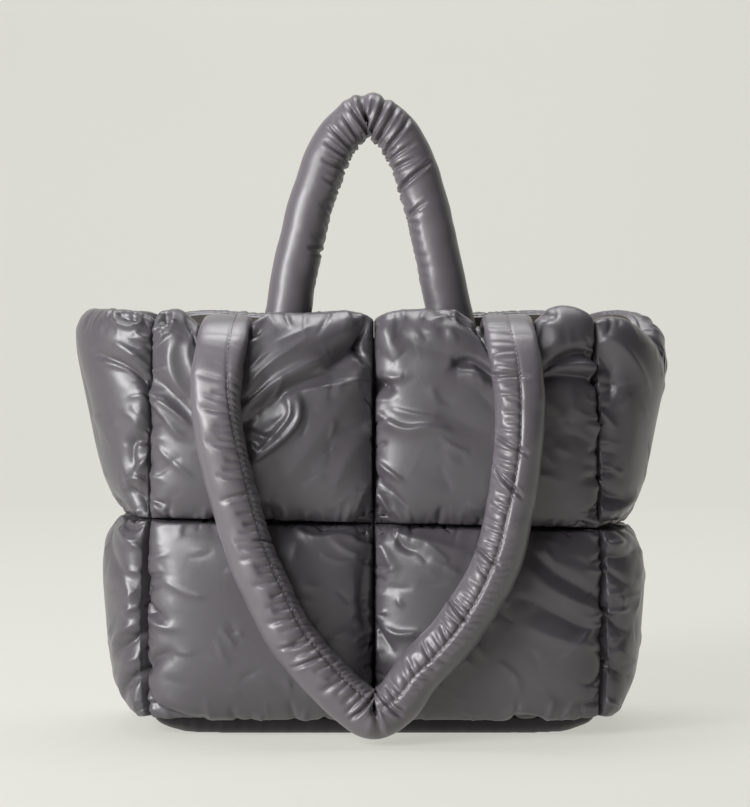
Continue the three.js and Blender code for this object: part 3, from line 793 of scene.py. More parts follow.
class Handle:
    """A rope handle whose cloth is gathered along its seam.

    PINCH is the share of the turning radius that the inner side may take. The STITCH values are the
    spacing, length and half thickness of its stitches and the stretch without any at its ends.
    """

    PINCH = 0.78
    STITCH_PITCH = 0.0042
    STITCH_LENGTH = 0.0027
    STITCH_RADIUS = 0.00034
    STITCH_MARGIN = 0.03
    STITCH_SIDES = 6

    def __init__(self, shape: HandleShape) -> None:
        """Keeps the shape."""
        self.shape = shape

    def _tube(self, rings: int, sides: int) -> tuple[Array, dict[str, Array]]:
        """Smooth tube round the route: place + a cos(angle) side + b sin(angle) face.

        Where the route turns sharply the inner side is pinched, so that rings don't cross.

        Args:
            rings, sides: number of points along and round the tube.

        Returns:
            The points, and the stations with their half width, half thickness and section power.
        """
        line = self.shape.centreline(rings)
        share = 1 - np.abs(2 * np.linspace(0, 1, rings) - 1)
        wide, thick = self.shape.section(share)
        angle = 2 * np.pi * np.arange(sides) / sides
        room = self.PINCH / np.maximum(1e-3, line["inward"])
        cosine, sine = np.cos(angle)[None], np.sin(angle)[None]
        power = np.interp(share, *zip(*self.shape.power))[:, None]
        swell = (np.abs(cosine) ** power + np.abs(sine) ** power) ** (-1 / power)
        reach = np.where(cosine > 0, np.minimum(wide, room)[:, None], wide[:, None]) * cosine * swell
        depth = thick[:, None] * sine * swell
        tube = line["place"][:, None] + reach[..., None] * line["side"][:, None]
        tube = tube + depth[..., None] * line["face"][:, None]
        line.update(wide=wide, thick=thick, power=power[:, 0])
        return tube, line

    def _seam_angle(self, line: dict[str, Array]) -> Array:
        """Angle of the seam at each ring, in radians."""
        return np.radians(np.interp(line["run"] / line["run"][-1], *zip(*self.shape.seam)))

    def _gathers(self, line: dict[str, Array], angle: Array) -> Array:
        """How far the gathers, the pleats and the seam press the cloth in at each point.

        Gathers are narrow valleys that start at the stitches and run out to both sides. Each has its
        own place, length, lean and depth. Between them the cloth swells a little.

        Args:
            line: the stations of the tube.
            angle: angles of its points in radians.

        Returns:
            Depths in metres, one for each point.
        """
        shape = self.shape
        rng = np.random.default_rng(shape.seed)
        run, total, radius = line["run"][:, None], line["run"][-1], shape.diameter / 2
        away = (angle[None] - self._seam_angle(line)[:, None] + np.pi) % (2 * np.pi) - np.pi
        away = away * radius
        depth = np.zeros_like(away)
        for gather in shape.gathers:
            out = away * gather.side
            places = np.cumsum(rng.uniform(0.7, 1.3, int(total / gather.pitch * 1.2))) * gather.pitch
            places = places[places < total]
            valleys = np.zeros_like(away)
            for place, strong in zip(places, np.interp(places / total, *zip(*gather.spread))):
                width, reach = gather.width * rng.uniform(0.7, 1.3), gather.reach * rng.uniform(0.55, 1.2)
                lean, heft = rng.normal(gather.lean, 0.12), rng.uniform(0.6, 1.2)
                fall = np.clip(out / reach, 0, 1)
                across = (run - place + lean * out) / (width * (1 + 0.6 * fall))
                fade = np.sin(0.5 * np.pi * np.clip(2.2 * (1 - fall), 0, 1)) * np.clip(out / 0.003, 0, 1)
                valleys += strong * heft * fade * np.exp(-(np.abs(across) ** 1.6))
            depth += np.minimum(valleys, 1.25) * gather.depth
            broad = np.interp(run[:, 0] / total, *zip(*gather.spread))[:, None]
            fade = np.clip(out / 0.003, 0, 1) * np.exp(-((out / gather.reach) ** 4))
            depth -= 0.35 * gather.depth * broad * fade
        groove = np.interp(run[:, 0] / total, *zip(*shape.seam_depth))[:, None]
        depth += groove * (np.exp(-((away / 0.0013) ** 2)) + 0.3 * np.exp(-((away / 0.004) ** 2)))
        for pleat in shape.pleats:
            depth += self._pleat(pleat, run, angle)
        waves = soft_noise(rng, (1, *depth.shape), 60, True)[0] * 0.00022
        return depth + waves

    def _pleat(self, pleat: Pleat, run: Array, angle: Array) -> Array:
        """How far one pleat presses the cloth in at each point; beside it the cloth swells."""
        arc = (angle[None] - math.radians(pleat.angle) + np.pi) % (2 * np.pi) - np.pi
        arc = arc * (self.shape.diameter / 2)
        across = (run - pleat.at * run[-1] + pleat.slant * arc) / pleat.width
        fade = np.clip(1 - (arc / pleat.arc) ** 2, 0, 1) ** 0.7
        valley = np.exp(-(np.abs(across) ** 1.3))
        beside = np.exp(-((np.abs(across) - 2.2) ** 2) / 1.2)
        return pleat.depth * fade * (valley - 0.3 * beside)

    def _settled(self) -> tuple[Array, dict[str, Array]]:
        """Tube with its gathers pressed in towards its middle."""
        rings, sides = self.shape.rings, self.shape.sides
        tube, line = self._tube(rings, sides)
        angle = 2 * np.pi * np.arange(sides) / sides
        offset = tube - line["place"][:, None]
        size = np.linalg.norm(offset, axis=-1)
        depth = self._gathers(line, angle) * np.clip(size / (self.shape.diameter * 0.45), 0.15, 1)
        tube = line["place"][:, None] + offset * (1 - depth / np.maximum(size, 1e-4))[..., None]
        np.maximum(tube[..., 2], FLOOR_CLEARANCE, out=tube[..., 2])
        return tube, line

    def build(self, shell: bpy.types.Material, thread: bpy.types.Material) -> list[bpy.types.Object]:
        """Meshes of the handle and of its stitches.

        Args:
            shell: the handle's nylon.
            thread: the sewing thread.

        Returns:
            The handle and its row of stitches.
        """
        tube, line = self._settled()
        rings, sides, _ = tube.shape
        numbers = grid_numbers(rings, sides)
        ringed = np.concatenate([numbers, numbers[:, :1]], axis=1)
        quads = grid_quads(ringed)[:, ::-1]
        first, last = rings * sides, rings * sides + 1
        start = np.stack([np.full(sides, first), ringed[0, 1:], ringed[0, :-1]], axis=-1)
        end = np.stack([np.full(sides, last), ringed[-1, :-1], ringed[-1, 1:]], axis=-1)
        points = np.vstack([tube.reshape(-1, 3), tube[0].mean(axis=0), tube[-1].mean(axis=0)])
        triangles = np.concatenate([start, end])
        slots = np.zeros(len(quads) + len(triangles))
        piece = mesh_piece(self.shape.name, points, quads, triangles, [shell], slots)
        log.info("%s: %d faces", piece.name, len(slots))
        return [piece, self._stitches(tube, line, thread)]

    def _stitches(self, tube: Array, line: dict[str, Array], thread: bpy.types.Material) -> bpy.types.Object:
        """Row of short stitches that lie along the seam, each a closed spindle of five rings."""
        sides, ring = tube.shape[1], np.arange(tube.shape[0])
        column = self._seam_angle(line) / (2 * np.pi) * sides
        low, part = np.floor(column).astype(int), (column % 1)[:, None]
        seam = tube[ring, low % sides] * (1 - part) + tube[ring, (low + 1) % sides] * part
        outward = unit(seam - line["place"])
        run = np.concatenate([[0], np.cumsum(np.linalg.norm(np.diff(seam, axis=0), axis=1))])
        starts = np.arange(self.STITCH_MARGIN, run[-1] - self.STITCH_MARGIN, self.STITCH_PITCH)
        profile = np.array([0.0, 0.75, 1.0, 0.75, 0.0])
        share = np.array([0.0, 0.18, 0.5, 0.82, 1.0])
        hump = np.array([-0.3, 0.5, 0.9, 0.5, -0.3]) * self.STITCH_RADIUS
        around, count = self.STITCH_SIDES, len(starts)
        angle = 2 * np.pi * np.arange(around) / around
        at = starts[:, None] + share[None] * self.STITCH_LENGTH
        middle = np.stack([np.interp(at, run, seam[:, k]) for k in range(3)], axis=-1)
        lift = np.stack([np.interp(at, run, outward[:, k]) for k in range(3)], axis=-1)
        middle = middle + lift * hump[None, :, None] + lift * 0.0002
        ahead = unit(middle[:, -1:] - middle[:, :1]) * np.ones_like(middle)
        beside = unit(np.cross(ahead, lift))
        over = np.cross(beside, ahead)
        turn = np.cos(angle)[None, None, :, None] * beside[:, :, None]
        turn = turn + np.sin(angle)[None, None, :, None] * over[:, :, None]
        body = middle[:, :, None] + turn * (profile * self.STITCH_RADIUS + 0.00008)[None, :, None, None]
        block = np.arange(count * 5 * around).reshape(count, 5, around)
        nxt = np.roll(block, -1, axis=2)
        quads = np.stack([block[:, :-1], nxt[:, :-1], nxt[:, 1:], block[:, 1:]], axis=-1).reshape(-1, 4)
        caps = np.concatenate([block[:, 0, ::-1], block[:, -1]])
        tips = np.repeat(caps[:, :1], around - 2, 1)
        fans = np.stack([tips, caps[:, 1:-1], caps[:, 2:]], axis=-1).reshape(-1, 3)
        slots = np.zeros(len(quads) + len(fans))
        piece = mesh_piece(self.shape.name + "_stitches", body.reshape(-1, 3), quads, fans, [thread], slots)
        log.info("%s: %d stitches", piece.name, count)
        return piece


@dataclass(frozen=True)
class PuffSpec:
    """One stuffed square.

    Args:
        name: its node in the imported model.
        wall, row, column: where it sits.
        bulge: how far it stands out from its seams, in metres.
        seed: start of its random draws.
        gather: share of extra cloth beside a seam.
        slack: share of extra cloth everywhere.
    """

    name: str
    wall: Wall
    row: Row
    column: Column
    bulge: float
    seed: int
    gather: float = 0.15
    slack: float = 0.012


class PuffSquares:
    """The stuffed squares of the walls, relaxed together on grids of one size.

    CROWN, FRONT_RIM and GUSSET_RIM are the power and steepness of the stuffed profile between seams and
    towards the rim. LINING_BULGE is how far the lining stands in, GATHER_REACH how far a seam's gathers
    run in, and STUFFED_OVER how far cloth may swell past its stuffed shape. PUCKER_PITCH and PUCKER_DEPTH
    are the mean spacing and the largest depth of puckers. SEAM_ROOM is what a full square leaves free on
    its side of a seam, and HANDLE_ROOM what it leaves round the handle. BASE_REACH and BASE_SLOPE keep
    the lower squares above the leaning edge of the base.
    """

    CROWN = (3.4, 0.48)
    FRONT_RIM = (4.0, 0.5)
    GUSSET_RIM = (6.0, 0.45)
    LINING_BULGE = 0.012
    GATHER_REACH = 0.022
    STUFFED_OVER = 0.0008
    PUCKER_PITCH = 0.008
    PUCKER_DEPTH = 0.0026
    SEAM_ROOM = 0.0017
    HANDLE_ROOM = 0.0016
    BASE_REACH = 0.009
    BASE_SLOPE = 0.25

    def __init__(self, seams: SeamSurface, specs: list[PuffSpec], prop: Handle | None) -> None:
        """Keeps the squares' places.

        Args:
            seams: the seam surface.
            specs: the squares.
            prop: the handle that lies on the front squares, or None.
        """
        self.seams = seams
        self.specs = specs
        self.prop = prop

    def _profiles(self, spec: PuffSpec, count: int) -> tuple[Array, Array]:
        """Shares across and up a square at which grid lines are evenly spaced along the cloth.

        The spacing is worked out by the length of the crown curve over a square of the same bulge.

        Args:
            spec: the square.
            count: number of grid lines each way.

        Returns:
            Shares across and shares up.
        """
        fine = np.linspace(0, 1, 1500)
        lines = []
        rim = self.GUSSET_RIM if spec.wall.gusset else self.FRONT_RIM
        across = crown(fine, *self.CROWN)
        high = across.copy()
        if spec.row is Row.UPPER:
            high = np.where(fine > 0.5, crown(fine, *rim), high)
        half, _, _ = self.seams.sizes_at(spec.wall, np.array(self.seams.sizes.waist_height))
        width = float(half) * (spec.column.value[1] - spec.column.value[0])
        height = self.seams.sizes.waist_height - self.seams.sizes.base_seam_height
        for rise, extent in ((across, width), (high, height)):
            steps = np.hypot(np.diff(fine) * extent, np.diff(rise) * spec.bulge)
            run = np.concatenate([[0], np.cumsum(steps)])
            lines.append(np.interp(np.linspace(0, run[-1], count), run, fine))
        return lines[0], lines[1]

    def _fold_depth(self, spec: PuffSpec, lines: tuple[Array, Array], spans: tuple[float, float]) -> Array:
        """How far the folds press each point in, measured along the cloth.

        Each stretch of a fold adds depth * exp(-(distance / reach)^1.5), with a smaller reach on its steep
        side, and the deepest stretch of a fold counts at each point.

        Args:
            spec: the square.
            lines: shares across and up of its grid lines.
            spans: its width and height along the cloth.

        Returns:
            Depths in metres, one for each point.
        """
        runs = [np.linspace(0, span, len(line)) for span, line in zip(spans, lines)]
        x, y = np.meshgrid(*runs, indexing="ij")
        depth = np.zeros_like(x)
        for fold in (*FOLDS.get(spec.name, ()), *self._creases(spec), *self._puckers(spec, spans)):
            places = rounded(np.array(fold.path))
            places = np.stack([np.interp(places[:, k], lines[k], runs[k]) for k in (0, 1)], axis=-1)
            lengths = np.linalg.norm(np.diff(places, axis=0), axis=1)
            total, before = lengths.sum(), 0.0
            best = np.zeros_like(x)
            for a, b, length in zip(places[:-1], places[1:], lengths):
                ahead = (b - a) / max(length, 1e-6)
                along = (x - a[0]) * ahead[0] + (y - a[1]) * ahead[1]
                t = np.clip(along, 0, length)
                side = ahead[0] * (y - a[1]) - ahead[1] * (x - a[0])
                distance = np.hypot(along - t, side)
                reach = fold.width * (1 - 0.65 * fold.skew * np.tanh(side / 0.0015))
                share = (before + t) / max(total, 1e-6)
                swell = lerp(fold.taper, 1.0, np.sin(np.pi * np.clip(share, 0, 1)) ** 0.6)
                best = np.maximum(best, swell * np.exp(-((distance / reach) ** 1.5)))
                before += length
            depth += fold.depth * best
        return depth

    def _creases(self, spec: PuffSpec) -> list[Fold]:
        """Short random creases, most of them along the way in which the square is pulled."""
        crease = CREASES.get(spec.name)
        if crease is None:
            return []
        rng = np.random.default_rng(spec.seed + 500)
        folds = []
        for _ in range(crease.count):
            u, v = rng.uniform(0.04, 0.96, 2)
            lie = math.radians(crease.lie + rng.normal(0, crease.stray))
            length = rng.uniform(0.05, 0.16)
            bend = rng.normal(0, 0.25)
            mid = (u + 0.5 * length * math.cos(lie), v + 0.5 * length * math.sin(lie))
            end = (mid[0] + 0.5 * length * math.cos(lie + bend), mid[1] + 0.5 * length * math.sin(lie + bend))
            depth = crease.depth * rng.choice([-1.0, -0.8, 0.7]) * rng.uniform(0.3, 1.0)
            width, skew = rng.uniform(0.002, 0.0042), rng.uniform(-0.7, 0.7)
            folds.append(Fold(((u, v), mid, end), width, depth, skew, 0.0))
        return folds

    def _puckers(self, spec: PuffSpec, spans: tuple[float, float]) -> list[Fold]:
        """Short valleys and ridges that run in from the four seams, at random places."""
        rng = np.random.default_rng(spec.seed + 900)
        folds = []
        for edge in range(4):
            across, far = edge // 2, edge % 2
            along, inward = spans[1 - across], spans[across]
            steps = rng.uniform(0.5, 1.5, int(along / self.PUCKER_PITCH))
            for place in np.cumsum(steps) * self.PUCKER_PITCH / along:
                if place > 0.98:
                    break
                length = rng.uniform(0.006, 0.022) / inward
                slant = rng.normal(0, 0.006) / along
                path = []
                for t in (0.05, 0.5, 1.0):
                    point = (1 - length * t if far else length * t, place + slant * t)
                    path.append(point[::-1] if across else point)
                depth = self.PUCKER_DEPTH * rng.choice([-1.0, 1.0]) * rng.uniform(0, 1) ** 1.5
                width, skew = rng.uniform(0.0016, 0.003), rng.uniform(-0.6, 0.6)
                folds.append(Fold(tuple(path), width, depth, skew, 0.5))
        return folds

    def _start(self, spec: PuffSpec, count: int) -> dict[str, Array]:
        """Smooth cloth of a square before it relaxes, in its wall's own frame.

        Args:
            spec: the square.
            count: points along each side.

        Returns:
            home and lining: cloth and lining points, out: directions in which the filling stands out,
            body: the stuffed profile from 0 to 1, lines, u and v: shares of the grid lines and points,
            waist: height of the cross seam, and planes: the two corner seam planes.
        """
        seams, sizes = self.seams, self.seams.sizes
        lines_u, lines_v = self._profiles(spec, count)
        u, v = np.meshgrid(lines_u, lines_v, indexing="ij")
        low, high = spec.column.value
        half, _, _ = seams.sizes_at(spec.wall, np.array(sizes.waist_height))
        half = float(half)
        corner, middle = sizes.seam_gap * math.sqrt(0.5) / half, sizes.seam_gap / 2 / half
        low += corner if low == -1 else middle
        high -= corner if high == 1 else middle
        s = lerp(low, high, u)
        plan, _ = seams.frame(spec.wall, s, np.full_like(s, sizes.waist_height))
        waist = seams.waist(turn_about_z(plan, spec.wall.value)[..., 0])
        if spec.row is Row.UPPER:
            bottom, top = waist + sizes.seam_gap / 2, seams.rim(spec.wall, s, u)
        else:
            bottom, top = sizes.base_seam_height + sizes.seam_gap * math.sqrt(0.5), waist - sizes.seam_gap / 2
        z = lerp(bottom, top, v)
        points, out = seams.frame(spec.wall, s, z)
        rise = crown(v, *self.CROWN)
        if spec.row is Row.UPPER:
            rim = self.GUSSET_RIM if spec.wall.gusset else self.FRONT_RIM
            rise = np.where(v > 0.5, crown(v, *rim), rise)
        body = fuller(crown(u, *self.CROWN), rise)
        bulge = sizes.seam_thickness / 2 + spec.bulge * body
        home = points + bulge[..., None] * out
        hollow = sizes.seam_thickness / 2 + self.LINING_BULGE * 16 * u * (1 - u) * v * (1 - v)
        lining = points - hollow[..., None] * out
        planes = [seams.corner_plane(spec.wall, side, z) for side in (-1.0, 1.0)]
        return {"home": home, "out": out, "body": body, "lines": (lines_u, lines_v), "u": u, "v": v,
                "waist": waist, "lining": lining, "planes": planes}

    def _rest(self, spec: PuffSpec, start: dict[str, Array], rng: np.random.Generator) -> tuple[Array, Array]:
        """Rest lengths: those of the smooth cloth, longer beside the seams that it is gathered into."""
        home, u, v = start["home"], start["u"], start["v"]
        across = np.linalg.norm(np.diff(home, axis=0), axis=-1)
        high = np.linalg.norm(np.diff(home, axis=1), axis=-1)
        run_u = np.concatenate([np.zeros((1, u.shape[1])), np.cumsum(across, axis=0)])
        run_v = np.concatenate([np.zeros((u.shape[0], 1)), np.cumsum(high, axis=1)], axis=1)

        def near(run: Array) -> Array:
            """Strength of a seam's gathers at a distance from it."""
            return np.exp(-run / self.GATHER_REACH)

        bottom, top = (1.0, 0.6) if spec.row is Row.UPPER else (0.35, 1.0)
        along_u = bottom * near(run_v) + top * near(run_v[:, -1:] - run_v)
        along_v = near(run_u) + near(run_u[-1:] - run_u)
        slack = spec.slack * (1 + 0.6 * soft_noise(rng, (1, *u.shape), 6)[0])
        extra_u = slack + spec.gather * along_u
        extra_v = slack + spec.gather * along_v
        rest_across = across * (1 + (extra_u[1:] + extra_u[:-1]) / 2)
        return rest_across, high * (1 + (extra_v[:, 1:] + extra_v[:, :-1]) / 2)

    def _limits(self, starts: list[dict[str, Array]], points: Array) -> Callable[..., None]:
        """Function that keeps each square on its own side of its seams and clear of the handle and floor.

        Args:
            starts: smooth cloth of each square, from _start.
            points: stack of their grids, for finding the nearest part of the handle.

        Returns:
            Function that moves the points of such a stack in place.
        """
        sizes = self.seams.sizes
        stand = np.stack([start["body"] * spec.bulge for spec, start in zip(self.specs, starts)])
        full = np.clip((stand - 0.004) / 0.012, 0, 1)
        gap = (sizes.seam_gap / 2 + self.SEAM_ROOM * full).astype(np.float32)
        sides = []
        for side in (0, 1):
            normal = np.stack([s["planes"][side][0] for s in starts]).astype(np.float32)
            origin = np.stack([s["planes"][side][1] for s in starts]).astype(np.float32)
            sides.append((normal, np.einsum("...k,...k->...", normal, origin) - gap))
        waist = np.stack([s["waist"] for s in starts]).astype(np.float32)
        home = np.stack([s["home"] for s in starts]).astype(np.float32)
        out = np.stack([s["out"] for s in starts]).astype(np.float32)
        upper = np.array([spec.row is Row.UPPER for spec in self.specs])
        left = np.array([spec.column is Column.LEFT for spec in self.specs])
        right = np.array([spec.column is Column.RIGHT for spec in self.specs])
        front = np.array([spec.wall is Wall.FRONT for spec in self.specs])
        prop = self._prop_frame(points[front]) if self.prop is not None and front.any() else None
        halves = [sizes.front_width / 2 if spec.wall.gusset else sizes.base_depth / 2 for spec in self.specs]
        edge = np.array(halves, np.float32)[~upper, None, None] + self.BASE_REACH

        def limits(x: Array, stuffed: bool = True) -> None:
            """Moves points that have crossed a seam plane, the floor or the handle back to it."""
            if stuffed:
                over = np.maximum(0.0, np.einsum("...k,...k->...", x - home, out) - self.STUFFED_OVER)
                x -= over[..., None] * out
            for normal, reach in sides:
                over = np.maximum(0.0, np.einsum("...k,...k->...", x, normal) - reach)
                x -= over[..., None] * normal
            x[left, ..., 0] = np.minimum(x[left, ..., 0], -gap[left])
            x[right, ..., 0] = np.maximum(x[right, ..., 0], gap[right])
            x[upper, ..., 2] = np.maximum(x[upper, ..., 2], waist[upper] + gap[upper])
            x[~upper, ..., 2] = np.minimum(x[~upper, ..., 2], waist[~upper] - gap[~upper])
            low = sizes.base_seam_height - self.BASE_SLOPE * np.maximum(0.0, np.abs(x[~upper, ..., 1]) - edge)
            x[~upper, ..., 2] = np.maximum(x[~upper, ..., 2], low)
            np.maximum(x[..., 2], FLOOR_CLEARANCE, out=x[..., 2])
            if prop is not None:
                x[front] = self._clear_of_prop(x[front], prop)

        return limits

    def _prop_frame(self, points: Array) -> dict[str, Array]:
        """Nearest station of the handle for each point of the front squares.

        Args:
            points: grids of the front squares.

        Returns:
            Its place, side, face, half width, half thickness and section power for each point, and near:
            whether the point is close enough to touch.
        """
        _, line = self.prop._tube(240, 8)
        flat = points.reshape(-1, 3)
        best = np.full(len(flat), np.inf)
        nearest = np.zeros(len(flat), int)
        for k, place in enumerate(line["place"]):
            distance = ((flat - place) ** 2).sum(axis=1)
            closer = distance < best
            best[closer] = distance[closer]
            nearest[closer] = k
        shape = points.shape[:-1]
        prop = {"near": (np.sqrt(best) < 0.04).reshape(shape)}
        for key in ("place", "side", "face"):
            prop[key] = line[key][nearest].reshape(*shape, 3).astype(np.float32)
        for key in ("wide", "thick", "power"):
            prop[key] = line[key][nearest].reshape(shape).astype(np.float32)
        return prop

    @staticmethod
    def _clear_of_prop(x: Array, prop: dict[str, Array]) -> Array:
        """Points pushed out of the handle's section, by scaling their offset from its middle.

        Args:
            x: grids of the front squares.
            prop: the nearest part of the handle, from _prop_frame.

        Returns:
            The moved points.
        """
        room, near = PuffSquares.HANDLE_ROOM, prop["near"]
        offset = x[near] - prop["place"][near]
        across = np.einsum("...k,...k->...", offset, prop["side"][near])
        through = np.einsum("...k,...k->...", offset, prop["face"][near])
        power = prop["power"][near]
        over = np.abs(across / (prop["wide"][near] + room)) ** power
        over = (over + np.abs(through / (prop["thick"][near] + room)) ** power) ** (1 / power)
        grow = np.where(over < 1, 1 / np.maximum(over, 0.05) - 1, 0.0)[..., None]
        push = across[..., None] * prop["side"][near] + through[..., None] * prop["face"][near]
        x = x.copy()
        x[near] += np.minimum(grow, 1.5) * push
        return x

    def settle(self, count: int, lining_count: int) -> list[tuple[Array, Array]]:
        """Relaxes the squares, coarse first and then fine.

        Args:
            count: points along each side of a square's finest grid.
            lining_count: points along each side of its lining.

        Returns:
            Cloth and lining grids of each square, in the bag's frame.
        """
        levels = [((count - 1) // 4 + 1, 220), ((count - 1) // 2 + 1, 170), (count, 90)]
        current = None
        for size, rounds in levels:
            starts = [self._start(spec, size) for spec in self.specs]
            rngs = [np.random.default_rng(spec.seed) for spec in self.specs]
            rests = [self._rest(spec, start, rng) for spec, start, rng in zip(self.specs, starts, rngs)]
            home = np.stack([start["home"] for start in starts])
            if current is None:
                current = home.copy()
                for k, rng in enumerate(rngs):
                    bump = soft_noise(rng, (1, size, size), 1)[0] * 0.0006
                    current[k] += bump[..., None] * np.array([0.3, -1.0, 0.3])
            else:
                current = refine(current, size)
            sheet = Sheet(current, np.stack([r[0] for r in rests]), np.stack([r[1] for r in rests]))
            pinned = np.zeros(current.shape[:-1], bool)
            pinned[:, 0] = pinned[:, -1] = True
            pinned[:, :, 0] = pinned[:, :, -1] = True
            limits = self._limits(starts, current)
            current = Relaxer(sheet).settle(rounds, home, pinned, limits)
        current = self._folded(current, starts)
        limits(current, stuffed=False)
        linings = [self._start(spec, lining_count)["lining"] for spec in self.specs]
        turned = []
        for spec, cloth, lining in zip(self.specs, current, linings):
            angle = spec.wall.value
            turned.append((turn_about_z(cloth.astype(float), angle), turn_about_z(lining, angle)))
        return turned

    def _folded(self, cloth: Array, starts: list[dict[str, Array]]) -> Array:
        """Settled cloth with its folds pressed in, along its own smoothed normals.

        Args:
            cloth: stack of settled grids.
            starts: smooth cloth of each square, from _start.

        Returns:
            The stack with its folds.
        """
        along_u = cloth[:, 2:, 1:-1] - cloth[:, :-2, 1:-1]
        along_v = cloth[:, 1:-1, 2:] - cloth[:, 1:-1, :-2]
        normals = np.zeros_like(cloth)
        normals[:, 1:-1, 1:-1] = np.cross(along_u, along_v)
        for _ in range(6):
            normals[:, 1:-1, 1:-1] = unit(neighbour_sum(normals))
        folded = cloth.copy()
        for k, (spec, start) in enumerate(zip(self.specs, starts)):
            home = start["home"]
            spans = (
                float(np.linalg.norm(np.diff(home[:, home.shape[1] // 2], axis=0), axis=-1).sum()),
                float(np.linalg.norm(np.diff(home[home.shape[0] // 2], axis=0), axis=-1).sum()),
            )
            depth = self._fold_depth(spec, start["lines"], spans) * np.minimum(1, start["body"] * 2.0)
            folded[k] -= depth[..., None] * normals[k]
        return folded

    def build(
        self, count: int, lining_count: int, shell: bpy.types.Material, lining: bpy.types.Material
    ) -> list[bpy.types.Object]:
        """Closed mesh of each square: cloth outside, lining inside, joined along the seams.

        Args:
            count, lining_count: points along each side of the cloth and of the lining.
            shell, lining: their materials.

        Returns:
            The squares, in the order of their specs.
        """
        pieces = []
        for spec, (cloth, inside) in zip(self.specs, self.settle(count, lining_count)):
            pieces.append(pad_piece(spec.name + "_cloth", cloth, inside, shell, lining))
            log.info("%s: %d faces", spec.name, len(pieces[-1].data.polygons))
        return pieces


def pad_piece(
    name: str, cloth: Array, inside: Array, shell: bpy.types.Material, lining: bpy.types.Material
) -> bpy.types.Object:
    """Closed pad between a fine outer grid and a coarse inner grid that share their four edges.

    Args:
        name: object name.
        cloth: outer grid of points.
        inside: inner grid, with the outer one's steps a whole multiple of its own.
        shell, lining: the two materials.

    Returns:
        The mesh object.
    """
    outer = grid_numbers(*cloth.shape[:2])
    inner = grid_numbers(*inside.shape[:2], first=outer.size)
    edges = [
        zip_edges(outer[:, 0], inner[:, 0])[:, ::-1],
        zip_edges(outer[:, -1], inner[:, -1]),
        zip_edges(outer[0], inner[0]),
        zip_edges(outer[-1], inner[-1])[:, ::-1],
    ]
    front, rear = grid_quads(outer), grid_quads(inner)[:, ::-1]
    quads, triangles = np.concatenate([front, rear]), np.concatenate(edges)
    slots = np.concatenate([np.zeros(len(front)), np.ones(len(rear)), np.zeros(len(triangles))])
    points = np.vstack([cloth.reshape(-1, 3), inside.reshape(-1, 3)])
    return mesh_piece(name, points, quads, triangles, [shell, lining], slots)


@dataclass
class BasePad:
    """The padded base: flat underside on the floor, top bulging a little into the bag."""

    sizes: BagSizes
    bulge: float = 0.021
    lining_bulge: float = 0.009
    pucker_depth: float = 0.0012

    def build(self, shell: bpy.types.Material, lining: bpy.types.Material) -> bpy.types.Object:
        """Closed pad whose edges lean out to meet the walls, with small puckers along its seams.

        Args:
            shell, lining: the materials of its outside and inside.

        Returns:
            The pad.
        """
        cloth, inside = self._grid(161, 81), self._grid(41, 21)
        piece = pad_piece("base_puff_cloth", cloth[0], inside[1], shell, lining)
        log.info("%s: %d faces", piece.name, len(piece.data.polygons))
        return piece

    def _grid(self, across: int, deep: int) -> tuple[Array, Array]:
        """Outer and inner grids: seam plane plus or minus a stuffed profile along the leaning directions.

        Args:
            across, deep: points along X and Y.

        Returns:
            The two grids.
        """
        sizes = self.sizes
        even = (np.linspace(0, 1, across), np.linspace(0, 1, deep))
        u, v = np.meshgrid(*[lerp(t, (1 - np.cos(np.pi * t)) / 2, 0.65) for t in even], indexing="ij")
        half_x = sizes.front_width / 2 - sizes.seam_gap * math.sqrt(0.5)
        half_y = sizes.base_depth / 2 - sizes.seam_gap * math.sqrt(0.5)
        x, y = lerp(-half_x, half_x, u), lerp(half_y, -half_y, v)
        side = np.maximum(0, 1 - (half_x - np.abs(x)) / sizes.base_end_lean_reach) ** 2
        end = np.maximum(0, 1 - (half_y - np.abs(y)) / sizes.gusset_lean_reach) ** 2
        edge = np.maximum(side, end)
        plan = unit(np.stack([np.sign(x) * side, np.sign(y) * end], axis=-1)) * edge[..., None]
        out = unit(np.concatenate([plan, -lerp(1.0, sizes.base_lean, edge)[..., None]], axis=-1))
        stuffed = crown(u, 8, 0.42) * crown(v, 3.4, 0.42)
        ripple = np.sin(x * 430) * np.sin(x * 173 + 1) + np.sin(y * 390) * np.sin(y * 151 + 2)
        pucker = self.pucker_depth * edge * ripple
        outer = sizes.seam_thickness / 2 + self.bulge * stuffed + pucker * np.minimum(1, stuffed * 2)
        inner = sizes.seam_thickness / 2 + self.lining_bulge * 16 * u * (1 - u) * v * (1 - v)
        seam = np.stack([x, y, np.full_like(x, sizes.base_seam_height)], axis=-1)
        skin = seam + outer[..., None] * out
        skin[..., 2] = np.maximum(0.0, skin[..., 2])
        return skin, seam - inner[..., None] * out


